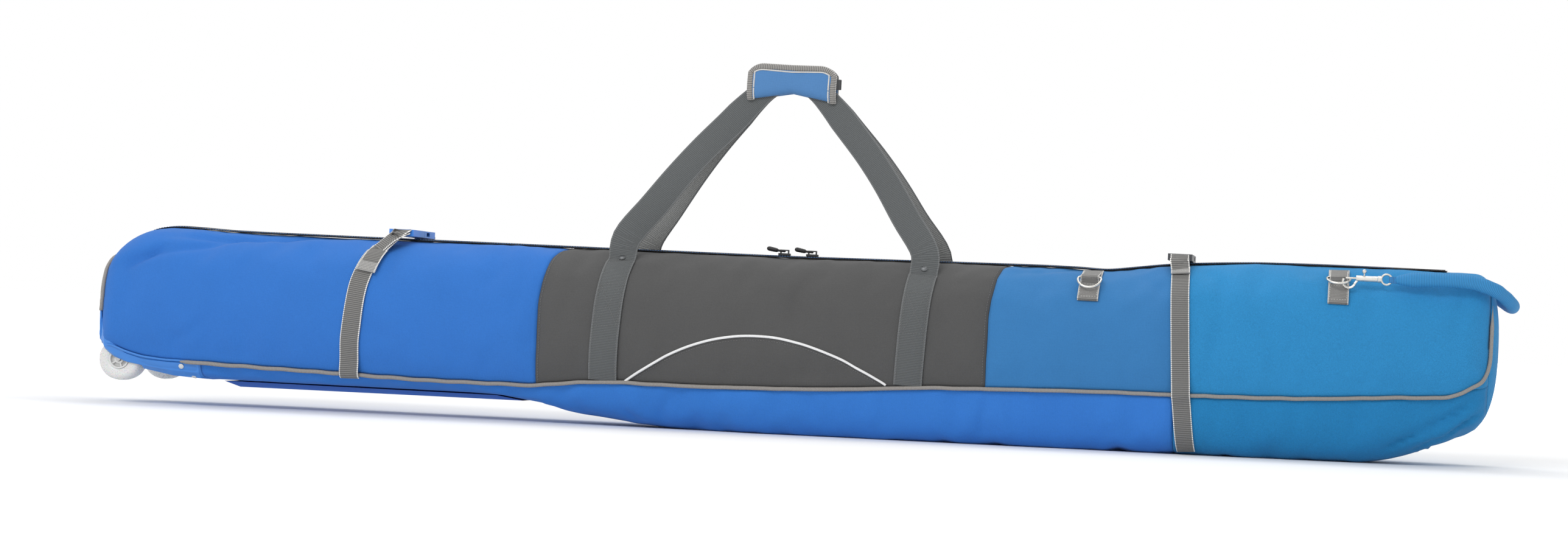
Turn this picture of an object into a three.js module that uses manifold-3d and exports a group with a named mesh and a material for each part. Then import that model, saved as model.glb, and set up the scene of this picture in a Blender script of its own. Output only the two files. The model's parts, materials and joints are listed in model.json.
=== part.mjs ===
// A wheeled ski bag lying on its belly, in millimetres.
// +X runs from the wheel end to the nose, -Y is the front, +Z is up.
// The origin is on the floor under the middle of the bag.

import * as THREE from 'three';
import { mergeVertices } from 'three/addons/utils/BufferGeometryUtils.js';
import Module from 'manifold-3d';

const wasm = await Module();
wasm.setup();

// ---------------------------------------------------------------- driving dimensions

const HALF_LENGTH = 943;
const SHELL = 3; // padded fabric of the panels
const NOSE_SHELL = 5; // the nose is padded more thickly
const GAP = 0.3; // clearance left at every seam
const SEWN_GAP = 0.5; // clearance under anything sewn on the skin
const WEBBING = 1.7; // thickness of the straps
const ROUNDING = 20; // how far each profile station is rounded over

// heights and half-width along the bag: [x, value]
const topEdge = profile([
  [-943, 236], [-860, 241], [-790, 237], [-500, 238], [-18, 240], [372, 246],
  [404, 241], [450, 250], [500, 256.5], [600, 263], [700, 265], [943, 265],
]);
const bottomEdge = profile([
  [-860, 46], [-835, 36], [-400, 35], [-354, 27], [-289, 17], [-158, 4], [-61, 0],
  [730, 0], [782, 6], [814, 13], [910, 49], [943, 60],
]);
const seamHeight = profile([
  [-943, 60], [-813, 57.5], [-485, 48], [-339, 48], [-262, 61], [-190, 58.5], [0, 63],
  [98, 68], [150, 73], [390, 80], [580, 80.5], [680, 83], [730, 86], [826, 92],
]);
const halfWidth = profile([[-943, 70], [-500, 72], [0, 76], [500, 75], [943, 66]]);
const bottomPower = profile([[-780, 6], [-600, 3.2], [943, 2.8]]);
const TOP_POWER = 3;
const WIDEST = 0.45; // height of the widest line, as a share of the bag's height
const BOTTOM_FLAT = 0.45; // flat of the underside, as a share of the half-width

// each end is a superellipse, seen from the side (radius, power) and from above (plan...)
const WHEEL_END = {
  x: -HALF_LENGTH, level: 124, radius: 75, power: 2.3, planRadius: 30, planPower: 2.5,
  seamX: -930, seamLevel: 128, seamRadius: 85, seamPower: 2.3,
};
const NOSE_END = {
  x: HALF_LENGTH, level: 160, radius: 35, power: 2.5, planRadius: 60, planPower: 2.3,
  seamX: 929, seamLevel: 150, seamRadius: 65, seamPower: 2,
};

// where the panels meet
const GREY_START = -343;
const GREY_END = 258;
const HOOD_SEAM = 512;
const HOUSING_END = -793;
const LEAN = 16; // seams and straps lean towards the nose at the top edge by this much

// carry handle
const HANDLE_X = -38;
const HANDLE_HALF_SPAN = 203;
const HANDLE_WEBBING = 38;
const HINGE_Y = 47;
const HINGE_Z = 240;
const WRAP_HALF = 60;
const WRAP_TOP = 499;
const WRAP_BOTTOM = 453;
const WRAP_PEAK = 464;
const WRAP_THICK = 8;

// compression straps and buckles
const STRAP = 25;
const LEFT_STRAP_X = -590;
const LEFT_STRAP_LEAN = 42;
const BUCKLE_WIDTH = 33;
const BUCKLE_HEIGHT = 9;
const BUCKLE_REACH = 32;

// zip
const TAPE_HALF = 14;
const TAPE = 1.6;
const ZIP_NOSE_X = 868;
const SLIDER_XS = [-38, 0];

// skid tray under the wheel half
const RUNNER = { start: -776, end: -372, low: 28, half: 34, wall: 2 };

// wheels
const WHEEL_X = -904;
const WHEEL_RADIUS = 28.5;
const WHEEL_Y = 50;
const WHEEL_WIDTH = 24;
const AXLE_Z = 30 + WHEEL_RADIUS;
const AXLE_RADIUS = 3;
const HUB_RADIUS = 13;
const WELL_RADIUS = 33;
const WELL_SIDE_GAP = 1.5;

// D-rings, snap hooks and tow strap
const TAB = 28;
// each ring: its tab's place and heights, its bar's height, and how far it stands off the tab
const SIDE_RING = { x: 388, tabLow: 199, tabHigh: 236, barZ: 230, tilt: 46 };
const NOSE_RING = { x: 721, tabLow: 211, tabHigh: 254, barZ: 246, tilt: 66 };
const RING_RADIUS = 15.5;
const RING_WIRE = 1.6;
const RING_DROP = 4; // straight part of the D between its bar and its bow
const HOOK_LOOP = 8.2;
const HOOK_WIRE = 1.8;
const HOOK_LENGTH = 38; // from the middle of the hook's loop to the end of its barrel
const BARREL_RADIUS = 4;
const BOLT_RADIUS = 1.4;
const EYE_RADIUS = 7;
const BARREL_RISE = 4.8;
const TOW_RADIUS = 9.5;
const TOW_START = 61; // from the hook's loop to the end of the padding

// ---------------------------------------------------------------- materials

function paint(colour, roughness = 0.85, metalness = 0) {
  return new THREE.MeshStandardMaterial({ color: colour, roughness, metalness });
}

const royalBlue = paint(0x3c7ac8);
const tealBlue = paint(0x3586bd);
const steelBlue = paint(0x407cb5);
const darkBlue = paint(0x1f5ba8, 0.6);
const greyFabric = paint(0x5c5c5c);
const webbingGrey = paint(0x838281);
const handleGrey = paint(0x5d6061);
const pipingGrey = paint(0x96918c);
const whiteTrim = paint(0xf0f0f0, 0.6);
const blackTape = paint(0x1c1c1e);
const bluePlastic = paint(0x3a76c4, 0.5);
const darkPlastic = paint(0x3a3b40, 0.5);
const metal = paint(0xd8d6d0, 0.3, 1);
const tyreWhite = paint(0xe9e9e6, 0.4);

// ---------------------------------------------------------------- the shape of the bag

/** Straight runs between stations, rounded over at each one. */
function profile(stations) {
  const straight = (x) => {
    if (x <= stations[0][0]) return stations[0][1];
    for (let i = 1; i < stations.length; i += 1) {
      const [x0, y0] = stations[i - 1];
      const [x1, y1] = stations[i];
      if (x <= x1) return THREE.MathUtils.mapLinear(x, x0, x1, y0, y1);
    }
    return stations.at(-1)[1];
  };
  const taps = [-1, -0.5, 0, 0.5, 1];
  return (x) => taps.reduce((sum, tap) => sum + straight(x + tap * ROUNDING), 0) / taps.length;
}

/** 1 along the bag, falling to 0 at its end as a superellipse does. */
function endFactor(x, endX, radius, power) {
  const depth = (Math.abs(x) - (Math.abs(endX) - radius)) / radius;
  if (depth <= 0) return 1;
  return Math.max(0, 1 - depth ** power) ** (1 / power);
}

const endAt = (x) => (x < 0 ? WHEEL_END : NOSE_END);

/** Sizes of the cross-section at x, grown by offset. */
function section(x, offset = 0) {
  const end = endAt(x);
  const tall = endFactor(x, end.x, end.radius, end.power);
  const wide = endFactor(x, end.x, end.planRadius, end.planPower);
  const fromLevel = (z) => end.level + (z - end.level) * tall;
  const middle = THREE.MathUtils.lerp(bottomEdge(x), topEdge(x), WIDEST);
  return {
    top: fromLevel(topEdge(x) + offset),
    middle: fromLevel(middle),
    bottom: fromLevel(bottomEdge(x) - offset),
    half: (halfWidth(x) + offset) * wide,
    flat: halfWidth(x) * wide * BOTTOM_FLAT,
    power: bottomPower(x),
  };
}

/** Angle round the half-section at a height: 0 at the underside, 90 degrees at the widest line. */
function angleAtHeight(x, z) {
  const s = section(x);
  if (z < s.middle) {
    const share = THREE.MathUtils.clamp((s.middle - z) / (s.middle - s.bottom), 0, 1);
    return Math.acos(share ** (s.power / 2));
  }
  const share = THREE.MathUtils.clamp((z - s.middle) / (s.top - s.middle), 0, 1);
  return Math.PI - Math.acos(share ** (TOP_POWER / 2));
}

function seamAngle(x) {
  const end = endAt(x);
  const inside = Math.abs(x) < Math.abs(end.seamX) ? x : end.seamX;
  const lift = endFactor(inside, end.seamX, end.seamRadius, end.seamPower);
  return angleAtHeight(inside, end.seamLevel + (seamHeight(inside) - end.seamLevel) * lift);
}

// v runs round one side: -1 at the underside, 0 at the piped seam, V_WIDE at the widest line,
// 1 at the zip
const V_WIDE = 0.3;
const V_ROWS = [0.15, 0.3, 0.44, 0.58, 0.72, 0.86];
const V_GAP = 0.002;

function angleAt(x, v) {
  const seam = seamAngle(x);
  if (v < 0) return (1 + v) * seam;
  if (v < V_WIDE) return THREE.MathUtils.mapLinear(v, 0, V_WIDE, seam, Math.PI / 2);
  return THREE.MathUtils.mapLinear(v, V_WIDE, 1, Math.PI / 2, Math.PI);
}

function vAtHeight(x, z) {
  const seam = seamAngle(x);
  const angle = angleAtHeight(x, z);
  if (angle < Math.PI / 2) return THREE.MathUtils.mapLinear(angle, seam, Math.PI / 2, 0, V_WIDE);
  return THREE.MathUtils.mapLinear(angle, Math.PI / 2, Math.PI, V_WIDE, 1);
}

/** A point of the skin; side is -1 at the front and 1 at the back. */
function skin(x, v, side, offset = 0) {
  const s = section(x, offset);
  const angle = angleAt(x, v);
  const sine = Math.max(0, Math.sin(angle));
  const cosine = Math.abs(Math.cos(angle));
  const stretched = x * (1 + offset / HALF_LENGTH);
  if (angle < Math.PI / 2) {
    const y = s.flat + (s.half - s.flat) * sine ** (2 / s.power);
    const z = s.middle - (s.middle - s.bottom) * cosine ** (2 / s.power);
    return new THREE.Vector3(stretched, side * y, z);
  }
  const y = s.half * sine ** (2 / TOP_POWER);
  const z = s.middle + (s.top - s.middle) * cosine ** (2 / TOP_POWER);
  return new THREE.Vector3(stretched, side * y, z);
}

const lean = (v) => LEAN * Math.max(0, (v - V_WIDE) / (1 - V_WIDE)) ** 1.5;

function range(from, to, step) {
  const count = Math.max(1, Math.round(Math.abs(to - from) / step));
  return Array.from({ length: count + 1 }, (_, i) => THREE.MathUtils.lerp(from, to, i / count));
}

/** Stations that crowd towards the tip of an end. */
function tipStations(from, to, count) {
  return Array.from({ length: count + 1 }, (_, i) => to + (from - to) * (1 - i / count) ** 2.2);
}

// every piece that runs along the skin is faceted at these stations, so the facets match
const STATIONS = [
  -921, -908, -890, -868, -830, HOUSING_END, ...range(-743, -400, 49), GREY_START, -289,
  ...range(-240, 208, 56), GREY_END, 315, 372, 404, 450, 480, HOOD_SEAM, ...range(560, 872, 52),
  894, 908, 918,
];

/** Stations from x0 to x1; the end stations stay clear of their neighbours. */
function stationsBetween(x0, x1, clearLow = 3, clearHigh = 3) {
  const [low, high] = [Math.min(x0, x1), Math.max(x0, x1)];
  const inner = STATIONS.filter((x) => x > low + clearLow && x < high - clearHigh);
  return x0 < x1 ? [x0, ...inner, x1] : [x0, ...inner.toReversed(), x1];
}

const rowsBetween = (v0, v1) => [v0, ...V_ROWS.filter((v) => v > v0 + 0.03 && v < v1 - 0.03), v1];

// ---------------------------------------------------------------- mesh building

/** A closed mesh from corner points, four to a face, wound outwards. */
function closedMesh(quads) {
  const positions = [];
  for (const [a, b, c, d] of quads) {
    for (const point of [a, b, c, a, c, d]) positions.push(point.x, point.y, point.z);
  }
  const geometry = new THREE.BufferGeometry();
  geometry.setAttribute('position', new THREE.Float32BufferAttribute(positions, 3));
  const merged = mergeVertices(geometry, 1e-3);
  const corners = merged.index.array;
  const kept = [];
  for (let i = 0; i < corners.length; i += 3) {
    const [a, b, c] = [corners[i], corners[i + 1], corners[i + 2]];
    if (a !== b && b !== c && c !== a) kept.push(a, b, c);
  }
  merged.setIndex(kept);
  if (signedVolume(merged) < 0) merged.setIndex(kept.reverse());
  merged.computeVertexNormals();
  return merged;
}

function signedVolume(geometry) {
  const position = geometry.attributes.position;
  const index = geometry.index.array;
  const corner = (i) => new THREE.Vector3().fromBufferAttribute(position, index[i]);
  let volume = 0;
  for (let i = 0; i < index.length; i += 3) {
    volume += corner(i).dot(corner(i + 1).cross(corner(i + 2))) / 6;
  }
  return volume;
}

/** The solid between two grids of points; cyclic joins the last row to the first. */
function shellBetween(outer, inner, cyclic = false) {
  const columns = outer.length - 1;
  const rows = outer[0].length - (cyclic ? 0 : 1);
  const next = (j) => (j + 1) % outer[0].length;
  const quads = [];
  for (let i = 0; i < columns; i += 1) {
    for (let j = 0; j < rows; j += 1) {
      const k = next(j);
      quads.push([outer[i][j], outer[i + 1][j], outer[i + 1][k], outer[i][k]]);
      quads.push([inner[i][k], inner[i + 1][k], inner[i + 1][j], inner[i][j]]);
    }
    if (!cyclic) {
      quads.push([outer[i][0], inner[i][0], inner[i + 1][0], outer[i + 1][0]]);
      quads.push([outer[i][rows], outer[i + 1][rows], inner[i + 1][rows], inner[i][rows]]);
    }
  }
  for (let j = 0; j < rows; j += 1) {
    const k = next(j);
    quads.push([outer[0][j], outer[0][k], inner[0][k], inner[0][j]]);
    quads.push([outer[columns][k], outer[columns][j], inner[columns][j], inner[columns][k]]);
  }
  return closedMesh(quads);
}

const Y_AXIS = new THREE.Vector3(0, 1, 0);
const Z_AXIS = new THREE.Vector3(0, 0, 1);

/** A bar of constant section swept along points; closed joins its ends. */
function sweep(points, outline, closed = false, up = Y_AXIS) {
  const rings = points.map((point, i) => {
    const before = points[closed ? (i + points.length - 1) % points.length : Math.max(i - 1, 0)];
    const after = points[closed ? (i + 1) % points.length : Math.min(i + 1, points.length - 1)];
    const along = after.clone().sub(before).normalize();
    const side = up.clone().cross(along).normalize();
    const rise = along.clone().cross(side);
    return outline.map(([a, b]) => point.clone().addScaledVector(side, a).addScaledVector(rise, b));
  });
  if (closed) rings.push(rings[0]);
  const quads = [];
  const sides = outline.length;
  for (let i = 0; i < rings.length - 1; i += 1) {
    for (let j = 0; j < sides; j += 1) {
      const k = (j + 1) % sides;
      quads.push([rings[i][j], rings[i + 1][j], rings[i + 1][k], rings[i][k]]);
    }
  }
  if (!closed) {
    for (let j = 1; j < sides - 1; j += 1) {
      const last = rings.at(-1);
      quads.push([rings[0][0], rings[0][j], rings[0][j + 1], rings[0][0]]);
      quads.push([last[0], last[j + 1], last[j], last[0]]);
    }
  }
  return closedMesh(quads);
}

function roundOutline(radius, sides) {
  return Array.from({ length: sides }, (_, i) => {
    const angle = (i / sides) * 2 * Math.PI;
    return [radius * Math.cos(angle), radius * Math.sin(angle)];
  });
}

/** A strip lying on the skin between two offsets, from v0 to v1, centred on x(v). */
function skinStrip(side, v0, v1, centre, width, low, high) {
  const grid = (offset) => [-width / 2, width / 2].map(
    (dx) => rowsBetween(v0, v1).map((v) => skin(centre(v) + dx, v, side, offset)),
  );
  return shellBetween(grid(high), grid(low));
}

/** Merged and stripped to positions, as the solid library needs. */
function toSolid(geometry) {
  const bare = geometry.clone();
  bare.deleteAttribute('normal');
  bare.deleteAttribute('uv');
  const merged = mergeVertices(bare, 1e-3);
  return new wasm.Manifold(new wasm.Mesh({
    numProp: 3,
    vertProperties: new Float32Array(merged.attributes.position.array),
    triVerts: new Uint32Array(merged.index.array),
  }));
}

function fromSolid(solid) {
  const result = solid.getMesh();
  const geometry = new THREE.BufferGeometry();
  geometry.setAttribute('position', new THREE.Float32BufferAttribute(result.vertProperties, 3));
  geometry.setIndex(Array.from(result.triVerts));
  geometry.computeVertexNormals();
  return geometry;
}

function boxAt(x0, x1, y0, y1, z0, z1) {
  const geometry = new THREE.BoxGeometry(x1 - x0, y1 - y0, z1 - z0);
  return geometry.translate((x0 + x1) / 2, (y0 + y1) / 2, (z0 + z1) / 2);
}

/** A cylinder along Y between y0 and y1. */
function drumAt(x, z, radius, y0, y1, sides = 32) {
  const geometry = new THREE.CylinderGeometry(radius, radius, y1 - y0, sides);
  return geometry.translate(x, (y0 + y1) / 2, z);
}

/** A cylinder along X between x0 and x1. */
function rodAt(y, z, radius, x0, x1, sides = 12) {
  const geometry = new THREE.CylinderGeometry(radius, radius, x1 - x0, sides);
  return geometry.rotateZ(Math.PI / 2).translate((x0 + x1) / 2, y, z);
}

const group = new THREE.Group();

function add(name, geometry, material) {
  const mesh = new THREE.Mesh(geometry, material);
  mesh.name = name;
  group.add(mesh);
}

const sideName = (side) => (side < 0 ? 'front' : 'back');

// ---------------------------------------------------------------- fabric body

/** One side panel, from the piped seam to the zip, between two seams that may lean. */
function addPanel(name, side, [startX, endX], [startLeans, endLeans], thick, material) {
  const vs = rowsBetween(V_GAP, 1 - V_GAP);
  const clear = (leans) => (leans ? LEAN + 8 : 3);
  const inner = stationsBetween(startX, endX, clear(startLeans), clear(endLeans)).slice(1, -1);
  const columns = [
    (v) => startX + GAP + (startLeans ? lean(v) : 0),
    ...inner.map((x) => () => x),
    (v) => endX - GAP + (endLeans ? lean(v) : 0),
  ];
  const grid = (offset) => columns.map((xAt) => vs.map((v) => skin(xAt(v), v, side, offset)));
  add(`${sideName(side)}_${name}`, shellBetween(grid(0), grid(-thick)), material);
}

for (const side of [-1, 1]) {
  addPanel('panel_wheel_end', side, [WHEEL_END.seamX, GREY_START], [false, true], SHELL, royalBlue);
  addPanel('panel_centre', side, [GREY_START, GREY_END], [true, true], SHELL, greyFabric);
  addPanel('panel_nose_side', side, [GREY_END, HOOD_SEAM], [true, false], SHELL, steelBlue);
  const hood = [HOOD_SEAM, NOSE_END.seamX];
  addPanel('panel_nose_hood', side, hood, [false, false], NOSE_SHELL, tealBlue);
}

/** Rows from the front seam, under the bag, to the back seam: [side, v]. */
function underRows(gap) {
  const vs = [-gap, -0.3, -0.65, -1];
  return [...vs.map((v) => [-1, v]), ...vs.toReversed().map((v) => [1, v])];
}

function addGusset(name, startX, endX, thick, material) {
  const grid = (offset) => stationsBetween(startX + GAP, endX - GAP).map(
    (x) => underRows(1.5 * V_GAP).map(([side, v]) => skin(x, v, side, offset)),
  );
  add(name, shellBetween(grid(0), grid(-thick)), material);
}

addGusset('bottom_gusset', HOUSING_END, HOOD_SEAM, SHELL, royalBlue);
addGusset('nose_gusset', HOOD_SEAM, NOSE_END.seamX, NOSE_SHELL, tealBlue);

/** The closed end of the nose. */
function addNoseCap() {
  const xs = tipStations(NOSE_END.seamX + GAP, NOSE_END.x, 4);
  const under = underRows(0);
  const overBack = [...V_ROWS, 1].map((v) => [1, v]);
  const overFront = V_ROWS.toReversed().map((v) => [-1, v]);
  const rows = [...under, ...overBack, ...overFront];
  const grid = (offset) => xs.map((x) => rows.map(([side, v]) => skin(x, v, side, offset)));
  add('nose_cap', shellBetween(grid(0), grid(-NOSE_SHELL), true), tealBlue);
}

/** Upper half of the wheel end, above the wheel housing. */
function addWheelEndCap() {
  const xs = tipStations(WHEEL_END.seamX - GAP, WHEEL_END.x, 4);
  const vs = [V_GAP * 3, ...V_ROWS, 1];
  const rows = [...vs.map((v) => [-1, v]), ...vs.slice(0, -1).toReversed().map((v) => [1, v])];
  const level = (point) => {
    point.z = Math.max(point.z, WHEEL_END.level + GAP);
    return point;
  };
  const grid = (offset) => xs.map((x) => rows.map(([side, v]) => level(skin(x, v, side, offset))));
  add('wheel_end_cap', shellBetween(grid(0), grid(-SHELL)), royalBlue);
}

addNoseCap();
addWheelEndCap();

// ---------------------------------------------------------------- wheel housing and wheels

/** A moulded tray round the lower wheel-end corner, with a lined well over each wheel. */
function addWheelHousing() {
  const xs = [
    ...stationsBetween(HOUSING_END, WHEEL_END.seamX),
    ...tipStations(WHEEL_END.seamX, WHEEL_END.x, 4).slice(1),
  ];
  const under = underRows(1.5 * V_GAP);
  const tray = shellBetween(
    xs.map((x) => under.map(([side, v]) => skin(x, v, side))),
    xs.map((x) => under.map(([side, v]) => skin(x, v, side, -SHELL))),
  );
  const allRound = [
    ...underRows(0),
    ...V_ROWS.map((v) => [1, v]),
    ...[1, ...V_ROWS.toReversed()].map((v) => [-1, v]),
  ];
  const inside = xs.map((x) => allRound.map(([side, v]) => skin(x, v, side, -1)));
  const core = xs.map((x, i) => inside[i].map((p) => new THREE.Vector3(p.x, 0, section(x).middle)));
  const bagInside = toSolid(shellBetween(inside, core, true));

  let housing = toSolid(tray);
  for (const side of [-1, 1]) {
    const near = WHEEL_Y - WHEEL_WIDTH / 2 - WELL_SIDE_GAP;
    const far = WHEEL_Y + WHEEL_WIDTH / 2 + WELL_SIDE_GAP;
    const span = (a, b) => [Math.min(side * a, side * b), Math.max(side * a, side * b)];
    const liner = toSolid(drumAt(WHEEL_X, AXLE_Z, WELL_RADIUS + SHELL, ...span(near - SHELL, far)));
    const well = toSolid(drumAt(WHEEL_X, AXLE_Z, WELL_RADIUS, ...span(near, far + 0.6)));
    const mouth = toSolid(boxAt(
      WHEEL_X - WELL_RADIUS, WHEEL_X + WELL_RADIUS, ...span(near, far + 0.6), 0, AXLE_Z,
    ));
    housing = housing.add(liner.intersect(bagInside)).subtract(well).subtract(mouth);
  }
  const bore = toSolid(drumAt(WHEEL_X, AXLE_Z, AXLE_RADIUS + GAP, -WHEEL_Y, WHEEL_Y, 16));
  add('wheel_housing', fromSolid(housing.subtract(bore)), bluePlastic);
}

/** A ring turned about the Y axis, from profile points [radius, y]. */
function turned(points, y, sides) {
  const outline = points.map(([radius, dy]) => new THREE.Vector2(radius, dy));
  return new THREE.LatheGeometry([...outline, outline[0]], sides).translate(WHEEL_X, y, AXLE_Z);
}

function addWheel(side) {
  const half = WHEEL_WIDTH / 2;
  const hub = [
    [AXLE_RADIUS + GAP, -half + 1], [HUB_RADIUS, -half + 1], [HUB_RADIUS, half - 1],
    [AXLE_RADIUS + GAP, half - 1],
  ];
  const shoulder = WHEEL_RADIUS - 5;
  const tyre = [
    [HUB_RADIUS + GAP, -half + 2], [shoulder, -half], [WHEEL_RADIUS - 1.2, -half + 5],
    [WHEEL_RADIUS, 0], [WHEEL_RADIUS - 1.2, half - 5], [shoulder, half],
    [HUB_RADIUS + GAP, half - 2],
  ];
  add(`${sideName(side)}_wheel_hub`, turned(hub, side * WHEEL_Y, 20), darkPlastic);
  add(`${sideName(side)}_wheel_tyre`, turned(tyre, side * WHEEL_Y, 28), tyreWhite);
}

addWheelHousing();
addWheel(-1);
addWheel(1);
const axleHalf = WHEEL_Y + WHEEL_WIDTH / 2 + 0.8;
add('wheel_axle', drumAt(WHEEL_X, AXLE_Z, AXLE_RADIUS, -axleHalf, axleHalf, 16), metal);

/** Moulded skid tray under the wheel half of the bag, ramped at both ends and open upwards. */
function addBaseRunner() {
  const { start, end, low, half, wall } = RUNNER;
  const ramp = { wheelEnd: 22, noseEnd: -36 };
  const under = (x) => bottomEdge(x) - 0.8;
  const ramped = (x0, x1, floor, reach, rise) => {
    const outline = new THREE.Shape([
      new THREE.Vector2(x0, under(x0) + rise),
      new THREE.Vector2(x0 + ramp.wheelEnd, floor),
      new THREE.Vector2(x1, floor),
      new THREE.Vector2(x1 + ramp.noseEnd, under(x1 + ramp.noseEnd) + rise),
    ]);
    const block = new THREE.ExtrudeGeometry(outline, { depth: 2 * reach, bevelEnabled: false });
    return toSolid(block.rotateX(Math.PI / 2).translate(0, reach, 0));
  };
  const tray = ramped(start, end, low, half, 0);
  const hollow = ramped(start + 2 * wall, end - 2 * wall, low + wall, half - wall, 1);
  add('base_runner', fromSolid(tray.subtract(hollow)), darkBlue);
}

addBaseRunner();

// ---------------------------------------------------------------- piping

/** Piping along a side's lower seam and up round the nose. */
function addPiping(side) {
  const radius = 2.6;
  const start = -813;
  const overStrap = (x) => 3 * Math.exp(-(((x - HOOD_SEAM - 5) / 60) ** 2));
  const along = stationsBetween(start, NOSE_END.seamX);
  const points = along.map((x) => skin(x, 0, side, radius + SEWN_GAP + overStrap(x)));
  for (const v of V_ROWS.slice(0, 4)) points.push(skin(NOSE_END.seamX, v, side, radius + SEWN_GAP));
  add(`${sideName(side)}_piping`, sweep(points, roundOutline(radius, 6)), pipingGrey);
}

/** White piping over the mouth of the flat centre pocket. */
function addPocketPiping() {
  const radius = 2;
  const from = -222;
  const to = 128;
  const peak = 131;
  const points = range(from, to, 24).map((x) => {
    const share = (2 * x - from - to) / (to - from);
    const base = seamHeight(x) + 4;
    return skin(x, vAtHeight(x, base + (peak - base) * (1 - share ** 2)), -1, radius + 0.9);
  });
  add('front_pocket_piping', sweep(points, roundOutline(radius, 6)), whiteTrim);
}

addPiping(-1);
addPiping(1);
addPocketPiping();

// ---------------------------------------------------------------- zip

/** Zip tape along the top and down the wheel end. */
function addZipTape() {
  const xs = [
    ...stationsBetween(ZIP_NOSE_X, WHEEL_END.seamX),
    ...tipStations(WHEEL_END.seamX, WHEEL_END.x, 4).slice(1, 3),
  ];
  const acrossAngle = (x) => Math.PI - Math.asin((TAPE_HALF / section(x).half) ** (TOP_POWER / 2));
  const edgeV = (x) => THREE.MathUtils.mapLinear(acrossAngle(x), Math.PI / 2, Math.PI, V_WIDE, 1);
  const grid = (offset) => xs.map((x) => [
    skin(x, edgeV(x), -1, offset), skin(x, 1, -1, offset), skin(x, edgeV(x), 1, offset),
  ]);
  add('zip_tape', shellBetween(grid(SEWN_GAP + TAPE), grid(SEWN_GAP)), blackTape);
}

/** A zip slider with an arched bail, and its pull threaded under the arch. */
function addSlider(name, x) {
  const floor = topEdge(x) + SEWN_GAP + TAPE + 0.4;
  const body = new THREE.Shape();
  body.moveTo(-8, -3);
  body.lineTo(-3, -5.5);
  body.lineTo(7, -5.5);
  body.quadraticCurveTo(9, 0, 7, 5.5);
  body.lineTo(-3, 5.5);
  body.lineTo(-8, 3);
  const plate = new THREE.ExtrudeGeometry(body, { depth: 3, bevelEnabled: false, curveSegments: 4 });
  const arch = toSolid(boxAt(-6, 6, -1.2, 1.2, 2.5, 8));
  const window = toSolid(boxAt(-4.4, 4.4, -2, 2, 3, 6.4));
  const slider = toSolid(plate).add(arch.subtract(window)).translate([x, 0, floor]);
  add(`zip_slider_${name}`, fromSolid(slider), metal);

  const pinZ = floor + 4.7;
  const arm = 3;
  const bar = drumAt(0, 0, 0.9, -arm, arm, 8);
  const frame = toSolid(bar)
    .add(toSolid(boxAt(-9, 0.9, -arm - 0.9, -arm + 0.9, -0.9, 0.9)))
    .add(toSolid(boxAt(-9, 0.9, arm - 0.9, arm + 0.9, -0.9, 0.9)))
    .add(toSolid(boxAt(-24, -8.2, -4, 4, -2, 2)))
    .rotate([0, 12, 0])
    .translate([x, 0, pinZ]);
  add(`zip_pull_${name}`, fromSolid(frame), blackTape);
}

addZipTape();
addSlider('wheel_side', SLIDER_XS[0]);
addSlider('nose_side', SLIDER_XS[1]);

// ---------------------------------------------------------------- carry handle

const handleEnds = [HANDLE_X - HANDLE_HALF_SPAN, HANDLE_X + HANDLE_HALF_SPAN];

/** Webbing sewn to the side panel below each end of a carry loop, with a rivet at its top. */
function addCarryBand(side, footX, name) {
  const topX = footX + lean(0.8);
  const v1 = vAtHeight(topX, topEdge(topX) - 8);
  const centre = (v) => footX - lean(v1) + lean(v);
  const high = SEWN_GAP + WEBBING;
  const strip = skinStrip(side, 0.035, v1, centre, HANDLE_WEBBING, SEWN_GAP, high);
  add(`${sideName(side)}_carry_band_${name}`, strip, handleGrey);

  const v = v1 - 0.045;
  const seat = skin(centre(v), v, side, high + 0.5);
  const above = skin(centre(v), v + 0.02, side, high + 0.5);
  const below = skin(centre(v), v - 0.02, side, high + 0.5);
  const slope = above.sub(below);
  const outward = new THREE.Vector3(0, side * slope.z, -side * slope.y).normalize();
  const dome = [[0, 0], [5, 0], [4.6, 0.9], [3, 1.6], [0, 1.9]];
  const rivet = new THREE.LatheGeometry(dome.map(([r, h]) => new THREE.Vector2(r, h)), 12);
  rivet.applyQuaternion(new THREE.Quaternion().setFromUnitVectors(Y_AXIS, outward));
  add(`${sideName(side)}_rivet_${name}`, rivet.translate(seat.x, seat.y, seat.z), metal);
}

/** Centre line of half a carry loop, from its foot to the middle of the wrap, as [dx, z]. */
function loopCurve() {
  const gripZ = (WRAP_TOP + WRAP_PEAK) / 2;
  return new THREE.CatmullRomCurve3([
    new THREE.Vector3(HANDLE_HALF_SPAN, 0, HINGE_Z + 5),
    new THREE.Vector3(HANDLE_HALF_SPAN - 3, 0, HINGE_Z + 19),
    new THREE.Vector3(HANDLE_HALF_SPAN - 33, 0, 301),
    new THREE.Vector3(HANDLE_HALF_SPAN - 61, 0, 344),
    new THREE.Vector3(HANDLE_HALF_SPAN - 89, 0, 381),
    new THREE.Vector3(WRAP_HALF + 24, 0, 417),
    new THREE.Vector3(WRAP_HALF - 8, 0, 452),
    new THREE.Vector3(WRAP_HALF - 30, 0, gripZ - 4),
    new THREE.Vector3(0, 0, gripZ),
  ]);
}

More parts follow.
